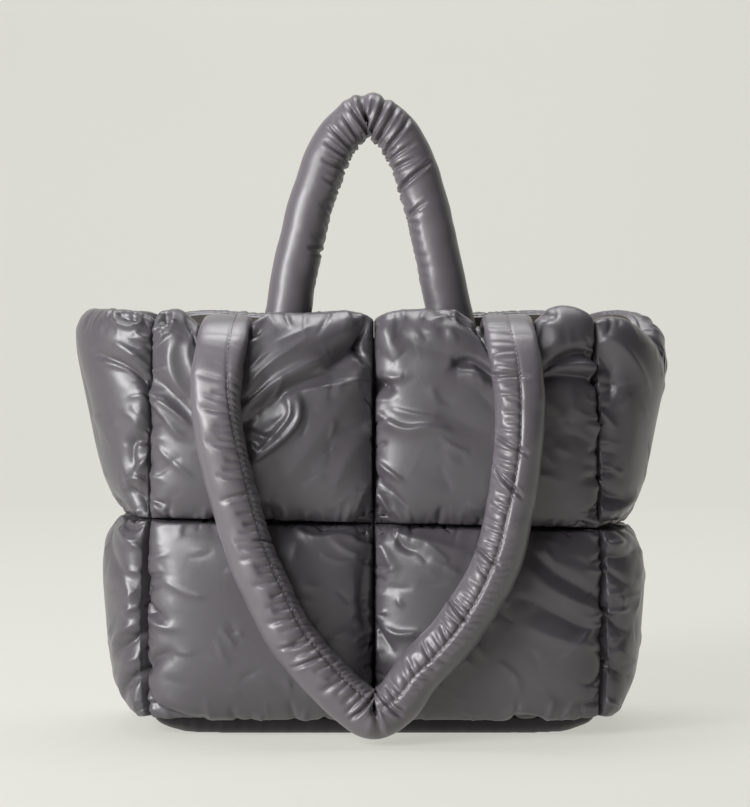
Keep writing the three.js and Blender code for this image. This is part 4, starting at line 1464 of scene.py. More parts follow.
@dataclass
class SeamBinding:
    """Thin dark cords that bind the seams on the inside, so that no light shows between the squares."""

    seams: SeamSurface
    radius: float = 0.0012
    behind: float = 0.0031
    stations: int = 60
    around: int = 8

    def build(self, finish: bpy.types.Material) -> bpy.types.Object:
        """One mesh with a closed cord for each seam.

        Args:
            finish: its material.

        Returns:
            The mesh object.
        """
        around = self.around
        angle = 2 * np.pi * np.arange(around) / around
        points, quads, fans = [], [], []
        for line in self._lines():
            along = unit(np.gradient(line, axis=0))
            side = unit(np.cross(along, [0.21, 0.33, 0.92]))
            over = np.cross(side, along)
            ring = np.cos(angle)[None, :, None] * side[:, None] + np.sin(angle)[None, :, None] * over[:, None]
            numbers = grid_numbers(len(line), around, sum(map(len, points)))
            closed = np.concatenate([numbers, numbers[:, :1]], axis=1)
            points.append((line[:, None] + self.radius * ring).reshape(-1, 3))
            quads.append(grid_quads(closed))
            for cap in (numbers[0], numbers[-1, ::-1]):
                fans.append(np.stack([np.repeat(cap[0], around - 2), cap[2:], cap[1:-1]], axis=-1))
        quads, fans = np.concatenate(quads), np.concatenate(fans)
        slots = np.zeros(len(quads) + len(fans))
        piece = mesh_piece("seam_binding", np.vstack(points), quads, fans, [finish], slots)
        log.info("%s: %d faces", piece.name, len(slots))
        return piece

    def _lines(self) -> list[Array]:
        """Middle lines of the cords: mid seams, cross and base seams, and corner seams."""
        sizes, count = self.seams.sizes, self.stations
        lines = []
        heights = np.linspace(sizes.base_seam_height + 0.002, sizes.body_height - 0.02, count)
        for wall in (Wall.FRONT, Wall.BACK):
            lines.append(self._line(wall, np.zeros(count), heights))
        for wall in Wall:
            s = np.linspace(-0.985, 0.985, count)
            level, _ = self.seams.frame(wall, s, np.full(count, sizes.waist_height))
            lines.append(self._line(wall, s, self.seams.waist(turn_about_z(level, wall.value)[:, 0])))
            lines.append(self._line(wall, s, np.full(count, sizes.base_seam_height + 0.0015)))
        for side in (-1.0, 1.0):
            for wall in (Wall.FRONT, Wall.BACK):
                lines.append(self._line(wall, np.full(count, side), heights))
        return lines

    def _line(self, wall: Wall, s: Array, z: Array) -> Array:
        """Points just behind the seam surface of a wall, in the bag's frame."""
        points, out = self.seams.frame(wall, s, z)
        return turn_about_z(points - self.behind * out, wall.value)


def front_route(sizes: BagSizes, diameter: float) -> Array:
    """Route of the front handle: sewn inside the rim, over it, down the left leg and up the right."""
    rows = (
        (0.11, 1.03, 0.97, -0.3),
        (0.05, 1.03, 0.98, -0.28),
        (0.012, 1.03, 0.99, -0.19),
        (0.0, 1.03, 1.0, 0.0),
        (0.003, 1.03, 1.005, 0.22),
        (0.018, 1.04, 1.01, 0.46),
        (0.055, 1.055, 1.025, 0.71),
        (0.12, 1.08, 1.055, 0.88),
        (0.2, 1.09, 1.075, 0.93),
        (0.3, 1.06, 1.07, 0.93),
        (0.4, 0.995, 1.04, 0.92),
        (0.5, 0.92, 0.99, 0.9),
        (0.6, 0.83, 0.925, 0.92),
        (0.7, 0.705, 0.785, 0.95),
        (0.8, 0.56, 0.59, 0.97),
        (0.9, 0.32, 0.33, 0.97),
        (0.965, 0.125, 0.2, 0.96),
    )
    seams = SeamSurface(sizes)
    fold_thickness, seat_gap, tip_clearance = 13 * MM, 1.5 * MM, 5 * MM
    half_span, offset, front_bulge = 110 * MM, -4 * MM, 36 * MM
    top = sizes.body_height - sizes.rim_dip + fold_thickness / 2 + seat_gap
    drop = top - tip_clearance - diameter / 2
    reach = front_bulge + diameter / 2

    def at(x: float, down: float, out: float) -> list[float]:
        """Point at a share of the drop, standing out by a share of the way to the squares' front."""
        z = top - down * drop
        return [x, -(float(seams.half_depth(np.array(z))) + out * reach), z]

    left = [at(offset - row[1] * half_span, row[0], row[3]) for row in rows]
    right = [at(offset + row[2] * half_span, row[0], row[3]) for row in rows]
    tip = at(offset + 0.035 * half_span, 1.0, 0.96)
    return np.array([*left, tip, *right[::-1]])


def back_route(sizes: BagSizes, diameter: float) -> Array:
    """Route of the back handle: sewn inside the back, up the left leg, over the apex and down."""
    rows = (
        (-0.44, 1.2, 1.2, -0.12),
        (-0.22, 1.14, 1.12, 0.0),
        (0.0, 1.0, 0.99, 0.05),
        (0.2, 0.92, 0.885, 0.08),
        (0.41, 0.805, 0.78, 0.14),
        (0.54, 0.725, 0.7, 0.2),
        (0.69, 0.6, 0.59, 0.28),
        (0.82, 0.476, 0.463, 0.36),
        (0.93, 0.27, 0.27, 0.42),
    )
    rise, half_span, offset, room = 168 * MM, 68 * MM, -4 * MM, 1.6 * MM
    standoff = sizes.seam_thickness / 2 + diameter / 2 + room

    def at(x: float, up: float, lean: float) -> list[float]:
        """Point at a share of the rise, leaning back towards the wall by a share of the standoff."""
        return [x, sizes.rim_depth / 2 - standoff * (1 - lean), sizes.body_height + up * rise]

    left = [at(offset - row[1] * half_span, row[0], row[3]) for row in rows]
    right = [at(offset + row[2] * half_span, row[0], row[3]) for row in rows]
    apex = at(offset - 0.04 * half_span, 1.0, 0.46)
    return np.array([*left, apex, *right[::-1]])


def pleat_rows(*rows: tuple) -> tuple[Pleat, ...]:
    """Pleats from rows of place, angle, arc, width and depth in millimetres, and slant if any."""
    pleats = []
    for at, angle, arc, width, depth, *rest in rows:
        pleats.append(Pleat(at, angle, arc * MM, width * MM, depth * MM, *rest))
    return tuple(pleats)


def fold_rows(*rows: tuple) -> tuple[Fold, ...]:
    """Folds from rows of a path, width and depth in millimetres, and skew and taper if any."""
    return tuple(Fold(path, width * MM, depth * MM, *rest) for path, width, depth, *rest in rows)


FRONT_PLEATS = pleat_rows(
    (0.503, 30, 42, 1.6, 4.5),
    (0.489, 20, 34, 1.4, 3, 0.12),
    (0.517, 20, 34, 1.4, 3, -0.12),
    (0.63, 35, 18, 1.6, 3.6, 0.2),
    (0.69, 35, 18, 1.6, 3.6, 0.25),
    (0.767, 45, 20, 1.7, 4.4, 0.6),
    (0.80, 45, 20, 1.7, 4.2, 0.35),
    (0.863, 52, 20, 1.5, 4, 0.12),
    (0.30, 20, 16, 1.4, 2.4, 0.3),
    (0.42, 80, 18, 1.5, 2.4, 0.3),
    (0.40, 80, 16, 1.5, 2.2, 0.3),
)

BACK_PLEATS = pleat_rows(
    (0.492, -60, 56, 1.5, 5, 0.04),
    (0.476, -55, 46, 1.5, 4, 0.14),
    (0.520, -60, 48, 1.6, 4.5, -0.10),
    (0.540, -50, 38, 1.5, 3.6, -0.15),
    (0.455, -40, 30, 1.5, 2.6, 0.2),
    (0.432, -40, 32, 1.5, 3, 0.15),
    (0.412, -35, 26, 1.5, 2.8, 0.1),
    (0.39, -25, 24, 1.6, 2.8, 0.0),
    (0.36, -15, 22, 1.6, 2.2, 0.1),
    (0.568, -50, 34, 1.5, 3.8, -0.28),
    (0.59, -40, 26, 1.5, 2.6, -0.1),
    (0.61, -30, 26, 1.5, 2.6, -0.05),
    (0.64, -45, 32, 1.6, 3.8, -0.35),
    (0.69, -30, 22, 1.5, 1.8, -0.3),
    (0.25, -10, 20, 1.6, 2.4, 0.05),
)

FOLDS: dict[str, tuple[Fold, ...]] = {
    "front_puff_upper_left": fold_rows(
        (((0.965, 0.035), (0.99, 0.01)), 8, 14, 0.0, 0.9),
        (((0.42, 0.70), (0.60, 0.82), (0.90, 0.93)), 13, -3.5),
        (((0.42, 0.78), (0.55, 0.86), (0.72, 0.93)), 3, -1.2, 0.3),
        (((0.43, 0.72), (0.56, 0.80), (0.70, 0.88)), 3, -1.2, -0.3),
        (((0.41, 0.60), (0.55, 0.69), (0.70, 0.765), (0.80, 0.80)), 6, -5, 0.5, 0.5),
        (((0.40, 0.52), (0.52, 0.60), (0.70, 0.695), (0.90, 0.72)), 8, 7, 0.0, 0.4),
        (((0.80, 0.775), (0.89, 0.83), (0.97, 0.88)), 8, 13, -0.4, 0.6),
        (((0.95, 0.80), (0.955, 0.88), (0.95, 0.96)), 7, 9, 0.0, 0.6),
        (((0.88, 0.68), (0.93, 0.76), (1.0, 0.80)), 5, -3),
        (((0.60, 0.615), (0.68, 0.655), (0.80, 0.66), (0.925, 0.70)), 5, -4.5, 0.5, 0.5),
        (((0.60, 0.61), (0.625, 0.54), (0.56, 0.45), (0.47, 0.35)), 4.5, -4.5, -0.5, 0.5),
        (((0.655, 0.59), (0.66, 0.51), (0.58, 0.41), (0.45, 0.325)), 4.5, -5, 0.5, 0.5),
        (((0.63, 0.57), (0.635, 0.52), (0.57, 0.43), (0.47, 0.35)), 2.5, 2.5, 0.0, 0.4),
        (((0.42, 0.48), (0.50, 0.43), (0.55, 0.425)), 3.5, -3, 0.3),
        (((0.43, 0.42), (0.47, 0.36)), 3, -2.5),
        (((0.98, 0.60), (0.80, 0.40), (0.66, 0.18)), 12, 2.5),
        (((0.99, 0.50), (0.86, 0.32), (0.80, 0.15)), 7, -2),
        (((0.88, 0.62), (0.74, 0.42), (0.60, 0.25)), 8, -2),
        (((0.99, 0.28), (0.93, 0.18), (0.90, 0.06)), 6, -2.5, 0.4),
        (((0.005, 0.65), (0.065, 0.60), (0.162, 0.515)), 3.5, -4.5, 0.5, 0.6),
        (((0.02, 0.63), (0.065, 0.55), (0.14, 0.43)), 3.5, -4, -0.4, 0.5),
        (((0.04, 0.70), (0.10, 0.64), (0.18, 0.56)), 5, 4),
        (((0.06, 0.36), (0.12, 0.30), (0.18, 0.24)), 2.5, -2, 0.5),
        (((0.12, 0.90), (0.10, 0.78), (0.15, 0.62)), 7, -3.5, 0.3),
        (((0.17, 0.95), (0.155, 0.84), (0.20, 0.74)), 3, -2),
        (((0.045, 0.985), (0.03, 0.93), (0.06, 0.90), (0.10, 0.93), (0.09, 0.98)), 3, -3, 0.0, 0.8),
        (((0.06, 0.96), (0.08, 0.94)), 3.5, 5, 0.0, 0.9),
        (((0.40, 0.995), (0.46, 0.955), (0.52, 0.99)), 4, -3, 0.3, 0.6),
        (((0.43, 0.93), (0.49, 0.935)), 3, 4),
        (((0.01, 0.12), (0.06, 0.07), (0.12, 0.04)), 3.5, -3, 0.4),
    ),
    "front_puff_upper_right": fold_rows(
        (((0.035, 0.035), (0.01, 0.01)), 8, 14, 0.0, 0.9),
        (((0.06, 0.97), (0.07, 0.90), (0.13, 0.80)), 8, -3.5, 0.3),
        (((0.12, 0.90), (0.22, 0.84), (0.40, 0.80)), 9, 2.5),
        (((0.18, 0.88), (0.30, 0.92), (0.45, 0.93)), 9, -2),
        (((0.0, 0.695), (0.04, 0.69), (0.075, 0.665)), 5, 8, 0.5, 0.8),
        (((0.05, 0.72), (0.10, 0.70), (0.15, 0.70)), 3.5, -3, -0.4),
        (((0.02, 0.575), (0.08, 0.50), (0.16, 0.455), (0.24, 0.475), (0.33, 0.47)), 4.5, -4, 0.5, 0.4),
        (((0.10, 0.56), (0.18, 0.53), (0.30, 0.515)), 3, -2, 0.4),
        (((0.04, 0.31), (0.09, 0.265), (0.14, 0.225)), 2.5, -3, 0.5),
        (((0.01, 0.20), (0.06, 0.14), (0.08, 0.08)), 3.5, -3.5, 0.4, 0.6),
        (((0.03, 0.22), (0.10, 0.16), (0.16, 0.10)), 3.5, 2.5),
        (((0.385, 0.78), (0.44, 0.825), (0.50, 0.80), (0.55, 0.755)), 4.5, 9, 0.6, 0.7),
        (((0.38, 0.75), (0.46, 0.765), (0.56, 0.73)), 6, -3),
        (((0.30, 0.985), (0.38, 0.96), (0.50, 0.955)), 3.5, 4, 0.4, 0.5),
        (((0.28, 0.95), (0.38, 0.985)), 3.5, -2.5),
        (((0.775, 0.76), (0.87, 0.80), (0.99, 0.83)), 5, 9, 0.4, 0.7),
        (((0.78, 0.75), (0.88, 0.755), (0.99, 0.77)), 4, -4, 0.3, 0.6),
        (((0.775, 0.725), (0.88, 0.70), (1.0, 0.705)), 4, 7, 0.0, 0.6),
        (((0.80, 0.95), (0.83, 0.88), (0.80, 0.82)), 7, -3.5),
        (((0.86, 0.66), (0.875, 0.58), (0.87, 0.50)), 5, -3),
        (((0.94, 0.60), (0.97, 0.50), (0.95, 0.40)), 4, -2, 0.4),
        (((0.30, 0.56), (0.42, 0.50), (0.55, 0.48)), 11, 1.5),
        (((0.20, 0.30), (0.36, 0.20), (0.50, 0.22)), 13, 1.8),
        (((0.95, 0.06), (0.985, 0.035), (0.96, 0.005)), 3.5, -4, 0.0, 0.8),
        (((0.90, 0.05), (0.95, 0.02)), 3, 4),
    ),
    "front_puff_lower_left": fold_rows(
        (((0.965, 0.965), (0.99, 0.99)), 8, 12, 0.0, 0.9),
        (((0.03, 0.975), (0.15, 0.955), (0.33, 0.965)), 6, -3),
        (((0.62, 0.955), (0.74, 0.90), (0.86, 0.93), (0.98, 0.88)), 4, -3.5, 0.4),
        (((0.70, 0.99), (0.78, 0.955), (0.90, 0.97)), 3.5, 3),
        (((0.80, 0.90), (0.87, 0.85), (0.96, 0.82)), 3.5, -2.5, -0.4),
        (((0.96, 0.85), (0.93, 0.65), (0.95, 0.40)), 9, 5),
        (((0.90, 0.74), (0.90, 0.55), (0.93, 0.45)), 5, -2),
        (((0.0, 0.62), (0.05, 0.55), (0.10, 0.50)), 4, 4, 0.4),
        (((0.01, 0.54), (0.07, 0.47), (0.13, 0.46)), 3.5, -3),
        (((0.0, 0.22), (0.05, 0.30), (0.12, 0.34)), 5, 5, 0.4),
        (((0.10, 0.70), (0.18, 0.63), (0.22, 0.62)), 2.5, -1.5, 0.3),
        (((0.03, 0.10), (0.10, 0.04), (0.20, 0.02)), 5, 4),
        (((0.10, 0.12), (0.22, 0.06), (0.36, 0.05)), 7, -2.5),
    ),
    "front_puff_lower_right": fold_rows(
        (((0.035, 0.965), (0.01, 0.99)), 8, 12, 0.0, 0.9),
        (((0.02, 0.98), (0.12, 0.93), (0.25, 0.90), (0.42, 0.86)), 6, -3, 0.3),
        (((0.04, 0.90), (0.08, 0.84), (0.10, 0.76)), 5, -3),
        (((0.09, 0.955), (0.14, 0.88), (0.20, 0.86)), 3.5, 3.5),
        (((0.065, 0.475), (0.12, 0.44), (0.20, 0.455)), 4, -3.5, 0.4, 0.5),
        (((0.02, 0.50), (0.06, 0.42), (0.10, 0.36)), 3.5, 3.5),
        (((0.02, 0.44), (0.05, 0.34), (0.06, 0.28)), 3.5, -3, 0.3),
        (((0.70, 0.90), (0.84, 0.74), (0.98, 0.62)), 6, 4, 0.3),
        (((0.70, 0.80), (0.85, 0.64), (0.99, 0.54)), 5, -2.5, 0.3),
        (((0.74, 0.62), (0.86, 0.52), (0.99, 0.42)), 6, 4, 0.3),
        (((0.70, 0.50), (0.84, 0.42), (0.97, 0.36)), 6, -2),
        (((0.84, 0.34), (0.92, 0.46), (0.98, 0.50)), 4, -2.5, 0.4),
        (((0.55, 0.02), (0.66, 0.10), (0.80, 0.04)), 5, -3, 0.3),
        (((0.60, 0.0), (0.70, 0.05), (0.82, 0.0)), 3.5, 4),
        (((0.80, 0.14), (0.90, 0.08), (0.98, 0.12)), 5, 3),
        (((0.93, 0.97), (0.97, 0.93), (0.99, 0.97)), 3, -3, 0.0, 0.7),
    ),
    "left_gusset_puff_upper": fold_rows(
        (((0.80, 0.80), (0.91, 0.75), (0.96, 0.70), (1.0, 0.665)), 5, 7, 0.5, 0.5),
        (((0.80, 0.77), (0.90, 0.745), (0.945, 0.70)), 4, -4.5, -0.3, 0.4),
        (((0.86, 0.86), (0.93, 0.82), (0.98, 0.76)), 4, -3, 0.4),
        (((0.955, 0.66), (0.955, 0.54), (0.935, 0.43)), 8, -3, 0.0, 0.5),
        (((0.92, 0.38), (0.965, 0.40), (1.0, 0.37)), 4, 4, -0.4, 0.6),
        (((0.93, 0.39), (0.915, 0.32), (0.93, 0.26)), 4, 3, 0.4, 0.5),
        (((0.995, 0.34), (0.96, 0.29), (0.93, 0.24)), 3.5, -3.5, 0.0, 0.5),
        (((0.88, 0.20), (0.93, 0.215), (0.965, 0.19)), 3.5, -3),
        (((0.91, 0.15), (0.96, 0.11), (1.0, 0.07)), 4.5, 7, 0.4, 0.6),
        (((0.80, 0.10), (0.90, 0.07), (1.0, 0.03)), 4, -3, 0.3),
        (((0.60, 0.04), (0.75, 0.10), (0.88, 0.06)), 6, 4),
        (((0.84, 0.98), (0.86, 0.945), (0.92, 0.935), (0.95, 0.96), (0.94, 0.99)), 2.6, -4, 0.0, 0.9),
        (((0.87, 0.975), (0.93, 0.97)), 3.5, 5, 0.0, 0.9),
        (((0.93, 0.92), (0.96, 0.90), (0.98, 0.915)), 3.5, -3, 0.3),
        (((0.30, 0.95), (0.40, 0.60), (0.35, 0.25)), 10, 2.5),
        (((0.55, 0.90), (0.62, 0.60), (0.70, 0.35)), 9, 2),
        (((0.02, 0.70), (0.14, 0.62), (0.25, 0.64)), 5, 5, 0.4),
    ),
    "left_gusset_puff_lower": fold_rows(
        (((0.80, 0.99), (0.90, 0.93), (0.98, 0.96)), 4, 4, 0.3),
        (((0.84, 0.95), (0.92, 0.88), (0.97, 0.86)), 4, -3),
        (((0.70, 0.92), (0.84, 0.80), (0.96, 0.66)), 6, 3.5),
        (((0.90, 0.74), (0.95, 0.62), (0.93, 0.50)), 6, -2.5),
        (((0.86, 0.30), (0.95, 0.38), (1.0, 0.44)), 4.5, 5, 0.4),
        (((0.84, 0.34), (0.92, 0.44), (0.97, 0.48)), 4, -3),
        (((0.86, 0.10), (0.94, 0.20), (1.0, 0.24)), 5, 6, 0.3),
        (((0.30, 0.80), (0.45, 0.60), (0.40, 0.30)), 10, 2.5),
    ),
    "right_gusset_puff_upper": fold_rows(
        (((0.0, 0.60), (0.04, 0.56), (0.07, 0.50)), 4, -4, 0.4, 0.5),
        (((0.02, 0.84), (0.07, 0.76), (0.06, 0.62)), 6, 5),
        (((0.04, 0.93), (0.10, 0.88), (0.22, 0.72)), 5, -3, 0.3),
        (((0.0, 0.20), (0.05, 0.16), (0.12, 0.15)), 5, 6, 0.3, 0.6),
        (((0.02, 0.10), (0.10, 0.10), (0.22, 0.16)), 5, -4, 0.3, 0.5),
        (((0.02, 0.04), (0.10, 0.03), (0.24, 0.07)), 4, 5, 0.3, 0.5),
        (((0.12, 0.70), (0.16, 0.50), (0.14, 0.30)), 10, -2),
        (((0.60, 0.90), (0.66, 0.60), (0.60, 0.30)), 10, 2.5),
    ),
    "right_gusset_puff_lower": fold_rows(
        (((0.0, 0.93), (0.05, 0.89), (0.10, 0.92)), 3.5, -3, 0.3, 0.5),
        (((0.0, 0.86), (0.08, 0.83), (0.20, 0.86)), 5, 5, 0.3),
        (((0.0, 0.60), (0.05, 0.48), (0.12, 0.44)), 5, 4),
        (((0.0, 0.34), (0.06, 0.24), (0.14, 0.20)), 5, 4, 0.3),
        (((0.04, 0.40), (0.10, 0.30), (0.18, 0.28)), 5, -2.5),
        (((0.60, 0.80), (0.50, 0.60), (0.55, 0.30)), 10, 2.5),
    ),
    "back_puff_upper_left": fold_rows(
        (((0.25, 0.55), (0.50, 0.64), (0.80, 0.76)), 8, 5, 0.4),
        (((0.22, 0.50), (0.48, 0.57), (0.72, 0.68)), 6, -3.5, 0.4),
        (((0.10, 0.90), (0.30, 0.80), (0.45, 0.84)), 7, -2.5),
    ),
    "back_puff_upper_right": fold_rows(
        (((0.15, 0.75), (0.35, 0.66), (0.62, 0.50)), 8, 5, -0.4),
        (((0.70, 0.95), (0.78, 0.78), (0.95, 0.66)), 6, -3, 0.3),
    ),
    "back_puff_lower_left": fold_rows(
        (((0.35, 0.98), (0.48, 0.80), (0.70, 0.60)), 8, 4),
        (((0.02, 0.40), (0.16, 0.46), (0.30, 0.42)), 6, -2.5),
    ),
    "back_puff_lower_right": fold_rows(
        (((0.10, 0.40), (0.28, 0.52), (0.45, 0.60)), 8, 4),
        (((0.60, 0.96), (0.76, 0.88), (0.98, 0.92)), 6, -3),
    ),
}

CREASES: dict[str, Crease] = {
    "front_puff_upper_left": Crease(46, 42, 24, 1.4 * MM),
    "front_puff_upper_right": Crease(40, -35, 30, 1.3 * MM),
    "front_puff_lower_left": Crease(40, -30, 34, 1.3 * MM),
    "front_puff_lower_right": Crease(52, -38, 28, 1.4 * MM),
    "left_gusset_puff_upper": Crease(44, -40, 40, 1.5 * MM),
    "left_gusset_puff_lower": Crease(44, 45, 40, 1.4 * MM),
    "right_gusset_puff_upper": Crease(44, 60, 40, 1.4 * MM),
    "right_gusset_puff_lower": Crease(44, 60, 40, 1.4 * MM),
    "back_puff_upper_left": Crease(34, 35, 40, 1.3 * MM),
    "back_puff_upper_right": Crease(34, -35, 40, 1.3 * MM),
    "back_puff_lower_left": Crease(34, -35, 40, 1.3 * MM),
    "back_puff_lower_right": Crease(34, 35, 40, 1.3 * MM),
}


def puff_specs() -> list[PuffSpec]:
    """The twelve squares; the back wall's left and right are as seen from the front."""
    bulge, upper_side, lower_side = 36 * MM, 31 * MM, 42 * MM
    specs = []
    for row in Row:
        for wall, swap in ((Wall.FRONT, False), (Wall.BACK, True)):
            for name, column in (("left", Column.LEFT), ("right", Column.RIGHT)):
                other = Column.RIGHT if column is Column.LEFT else Column.LEFT
                title = f"{wall.name.lower()}_puff_{row.value}_{name}"
                specs.append(PuffSpec(title, wall, row, other if swap else column, bulge, 11 + len(specs)))
        for wall in (Wall.LEFT, Wall.RIGHT):
            out = upper_side if row is Row.UPPER else lower_side
            title = f"{wall.name.lower()}_gusset_puff_{row.value}"
            specs.append(PuffSpec(title, wall, row, Column.WHOLE, out, 11 + len(specs)))
    return specs


@dataclass(frozen=True)
class SoftLight:
    """Rectangular soft light.

    Args:
        name: object name.
        place, target: where it stands and the point it is aimed at, in metres.
        size: width and height of its face in metres.
        power: power in watts.
    """

    name: str
    place: tuple[float, float, float]
    target: tuple[float, float, float]
    size: tuple[float, float]
    power: float

    def add(self) -> None:
        """Puts the light in the scene."""
        data = bpy.data.lights.new(self.name, "AREA")
        data.shape = "RECTANGLE"
        data.size, data.size_y = self.size
        data.energy = self.power
        lamp = bpy.data.objects.new(self.name, data)
        lamp.location = self.place
        lamp.rotation_euler = (Vector(self.target) - Vector(self.place)).to_track_quat("-Z", "Y").to_euler()
        bpy.context.scene.collection.objects.link(lamp)


LIGHTS = (
    SoftLight("key", (-1.75, -1.3, 0.8), (0.0, -0.05, 0.25), (0.6, 1.3), 55),
    SoftLight("high", (-1.1, -1.75, 1.25), (0.0, -0.1, 0.2), (0.9, 0.6), 18),
    SoftLight("top", (-0.3, 0.15, 2.3), (0.0, -0.1, 0.0), (0.6, 0.6), 11),
    SoftLight("cove", (0.0, 1.0, 3.1), (0.0, 3.0, 0.7), (2.6, 2.6), 85),
)


@dataclass
class Studio:
    """Pale floor with a cove, soft lights and the camera.

    Args:
        camera_distance, camera_height: how far the camera stands in front of the bag and how high.
        aim: the point it looks at.
        focal_length: focal length in millimetres on a 36 mm wide sensor.
        air: strength of the even light from all round.
    """

    camera_distance: float = 2.065
    camera_height: float = 0.337
    aim: tuple[float, float, float] = (0.0008, -0.065, 0.2662)
    focal_length: float = 111.5
    air: float = 0.045

    def build(self, floor_finish: bpy.types.Material) -> None:
        """Makes the floor, the world, the lights and the camera."""
        bpy.context.scene.view_settings.view_transform = "Standard"
        self._floor(floor_finish)
        self._world()
        for light in LIGHTS:
            light.add()
        self._camera()

    def _floor(self, finish: bpy.types.Material) -> None:
        """Floor that curves up into a wall behind the bag: a quarter circle swept along X."""
        bend, back, half, high = 0.9, 2.2, 14.0, 4.0
        angle = np.linspace(0, math.pi / 2, 25)
        y = np.concatenate([[-14.0, -1.0, 0.0, 1.0], back + bend * np.sin(angle), [back + bend]])
        z = np.concatenate([[0.0] * 4, bend * (1 - np.cos(angle)), [high]])
        x = np.array([-half, half])
        columns = (np.repeat(x, len(y)), np.tile(y, 2), np.tile(z, 2))
        quads, none = grid_quads(grid_numbers(2, len(y))), np.zeros((0, 3), int)
        points = np.stack(columns, axis=-1)
        mesh_piece("studio_floor", points, quads, none, [finish], np.zeros(len(quads)))

    def _world(self) -> None:
        """Even pale light from all round."""
        world = bpy.data.worlds.new("studio_air")
        world.use_nodes = True
        sky = world.node_tree.nodes["Background"]
        sky.inputs["Color"].default_value = (1.0, 0.995, 0.98, 1)
        sky.inputs["Strength"].default_value = self.air
        bpy.context.scene.world = world

    def _camera(self) -> None:
        """Camera level with the rim, looking down a little at the middle of the picture."""
        data = bpy.data.cameras.new("camera")
        data.lens = self.focal_length
        data.sensor_width = 36.0
        camera = bpy.data.objects.new("camera", data)
        camera.location = (0.0, -self.camera_distance, self.camera_height)
        camera.rotation_euler = (Vector(self.aim) - camera.location).to_track_quat("-Z", "Y").to_euler()
        bpy.context.scene.collection.objects.link(camera)
        bpy.context.scene.camera = camera


def register(piece: bpy.types.Object, node: str | None) -> None:
    """Lets a piece ride on the bag and hides the node that it replaces.

    Args:
        piece: the new piece.
        node: the node it replaces, or None.
    """
    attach(piece, "root")
    if node:
        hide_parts(node)


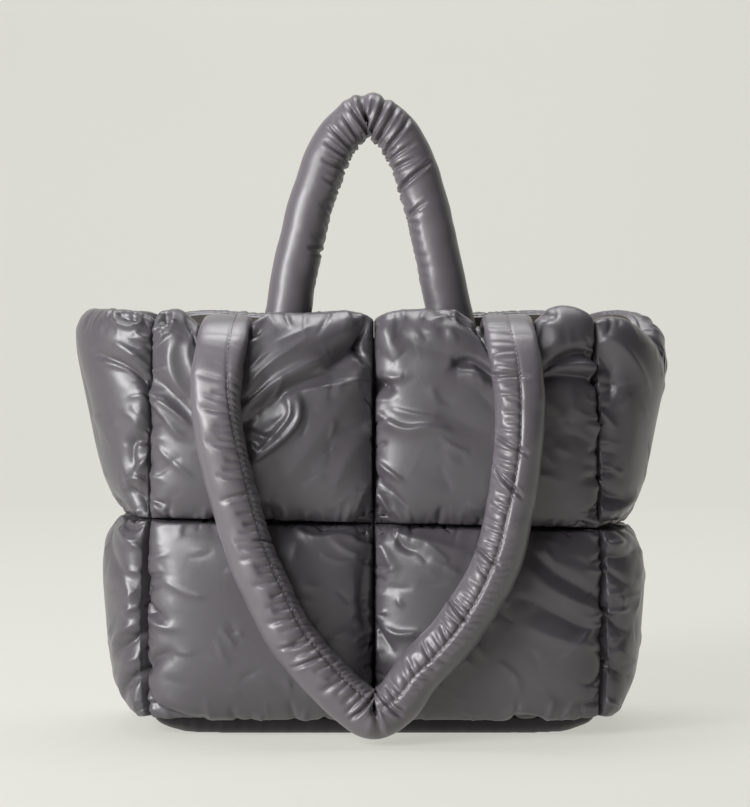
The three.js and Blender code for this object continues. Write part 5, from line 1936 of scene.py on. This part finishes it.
def front_handle(sizes: BagSizes) -> Handle:
    """Front handle: flat where it is sewn in and folded over the rim, then round, hanging in a V."""
    left_outer = ((0.1, 0.0), (0.15, 0.5), (0.2, 1.0), (0.49, 1.0), (0.51, 0.0))
    left_inner = ((0.09, 0.0), (0.15, 0.8), (0.2, 1.0), (0.49, 1.0), (0.51, 0.0))
    right_inner = ((0.5, 0.0), (0.52, 1.0), (0.8, 1.0), (0.88, 0.8), (0.93, 0.0))
    right_outer = ((0.5, 0.0), (0.52, 1.0), (0.62, 0.9), (0.7, 0.3), (0.78, 0.0))
    shape = HandleShape(
        name="front_handle_cloth",
        node="front_handle",
        route=front_route(sizes, HANDLE_THICKNESS),
        wide=[(0, 1.0), (0.12, 1.03), (0.2, 1.06), (0.32, 1.03), (0.4, 1.0), (1, 1.0)],
        thick=[(0, 0.34), (0.2, 0.34), (0.32, 0.86), (0.4, 1.0), (1, 1.0)],
        power=[(0, 4.0), (0.2, 4.0), (0.34, 2.4), (0.45, 2.0), (1, 2.0)],
        seam=[
            (0, 70), (0.11, 70), (0.167, 48), (0.204, 38), (0.30, 38), (0.377, 40), (0.43, 45),
            (0.49, 47), (0.515, 68), (0.54, 75), (0.573, 80), (0.642, 77), (0.676, 71), (0.72, 74),
            (0.76, 79), (0.8, 82), (0.837, 84), (0.878, 90), (0.904, 90), (1, 90),
        ],
        seam_depth=[
            (0, 1.0 * MM), (0.5, 1.5 * MM), (0.58, 2.6 * MM),
            (0.78, 2.2 * MM), (0.9, 1.2 * MM), (1, 1.0 * MM),
        ],
        gathers=(
            Gather(1, left_outer, 8 * MM, 1.9 * MM, 23 * MM, 2.6 * MM, 0.25),
            Gather(-1, left_inner, 4.9 * MM, 1.2 * MM, 18 * MM, 1.5 * MM, -0.45),
            Gather(-1, right_inner, 7.4 * MM, 1.8 * MM, 21 * MM, 2.4 * MM, -0.2),
            Gather(1, right_outer, 5.2 * MM, 1.2 * MM, 15 * MM, 1.5 * MM, -0.5),
        ),
        rings=900,
        sides=96,
        seed=5,
        pleats=FRONT_PLEATS,
    )
    return Handle(shape)


def back_handle(sizes: BagSizes) -> Handle:
    """Back handle: standing arch, a little flattened where it is sewn in."""
    spread = ((0.15, 0.0), (0.3, 0.5), (0.42, 0.9), (0.58, 0.9), (0.72, 0.5), (0.84, 0.0))
    gathers = [Gather(side, spread, 7.8 * MM, 1.8 * MM, 22 * MM, 2.2 * MM, 0.1 * side) for side in (1, -1)]
    shape = HandleShape(
        name="back_handle_cloth",
        node="back_handle",
        route=back_route(sizes, HANDLE_THICKNESS),
        wide=[(0, 1.1), (0.25, 1.02), (0.8, 1.0), (1, 0.94)],
        thick=[(0, 0.5), (0.25, 0.92), (0.4, 1.0), (0.8, 1.0), (1, 0.92)],
        power=[(0, 2.6), (0.25, 2.0), (1, 2.0)],
        seam=[(0, 0.0), (1, 0.0)],
        seam_depth=[(0, 1.2 * MM), (1, 1.2 * MM)],
        gathers=tuple(gathers),
        rings=600,
        sides=82,
        seed=6,
        pleats=BACK_PLEATS,
    )
    return Handle(shape)


def main() -> None:
    """Builds the studio, the handles, the squares and the base, and registers each piece."""
    logging.basicConfig(level=logging.INFO, format="%(name)s: %(message)s")
    sizes = BagSizes()
    Studio().build(FLOOR.build())
    shell, handle_shell, lining = SHELL.build(), HANDLE_SHELL.build(), LINING.build()
    thread = THREAD.build()
    front, back = front_handle(sizes), back_handle(sizes)
    for handle in (front, back):
        rope, stitches = handle.build(handle_shell, thread)
        register(rope, handle.shape.node)
        register(stitches, None)
    squares = PuffSquares(SeamSurface(sizes), puff_specs(), front)
    for spec, piece in zip(squares.specs, squares.build(161, 41, shell, lining)):
        register(piece, spec.name)
    # The base pad's outside takes the darkened nylon, which is painted shade.
    register(BasePad(sizes).build(PAINTED_SHADE_BASE_SHELL.build(), lining), "base_puff")
    register(SeamBinding(squares.seams).build(lining), None)
    bpy.context.view_layer.update()


if __name__ == "__main__":
    main()
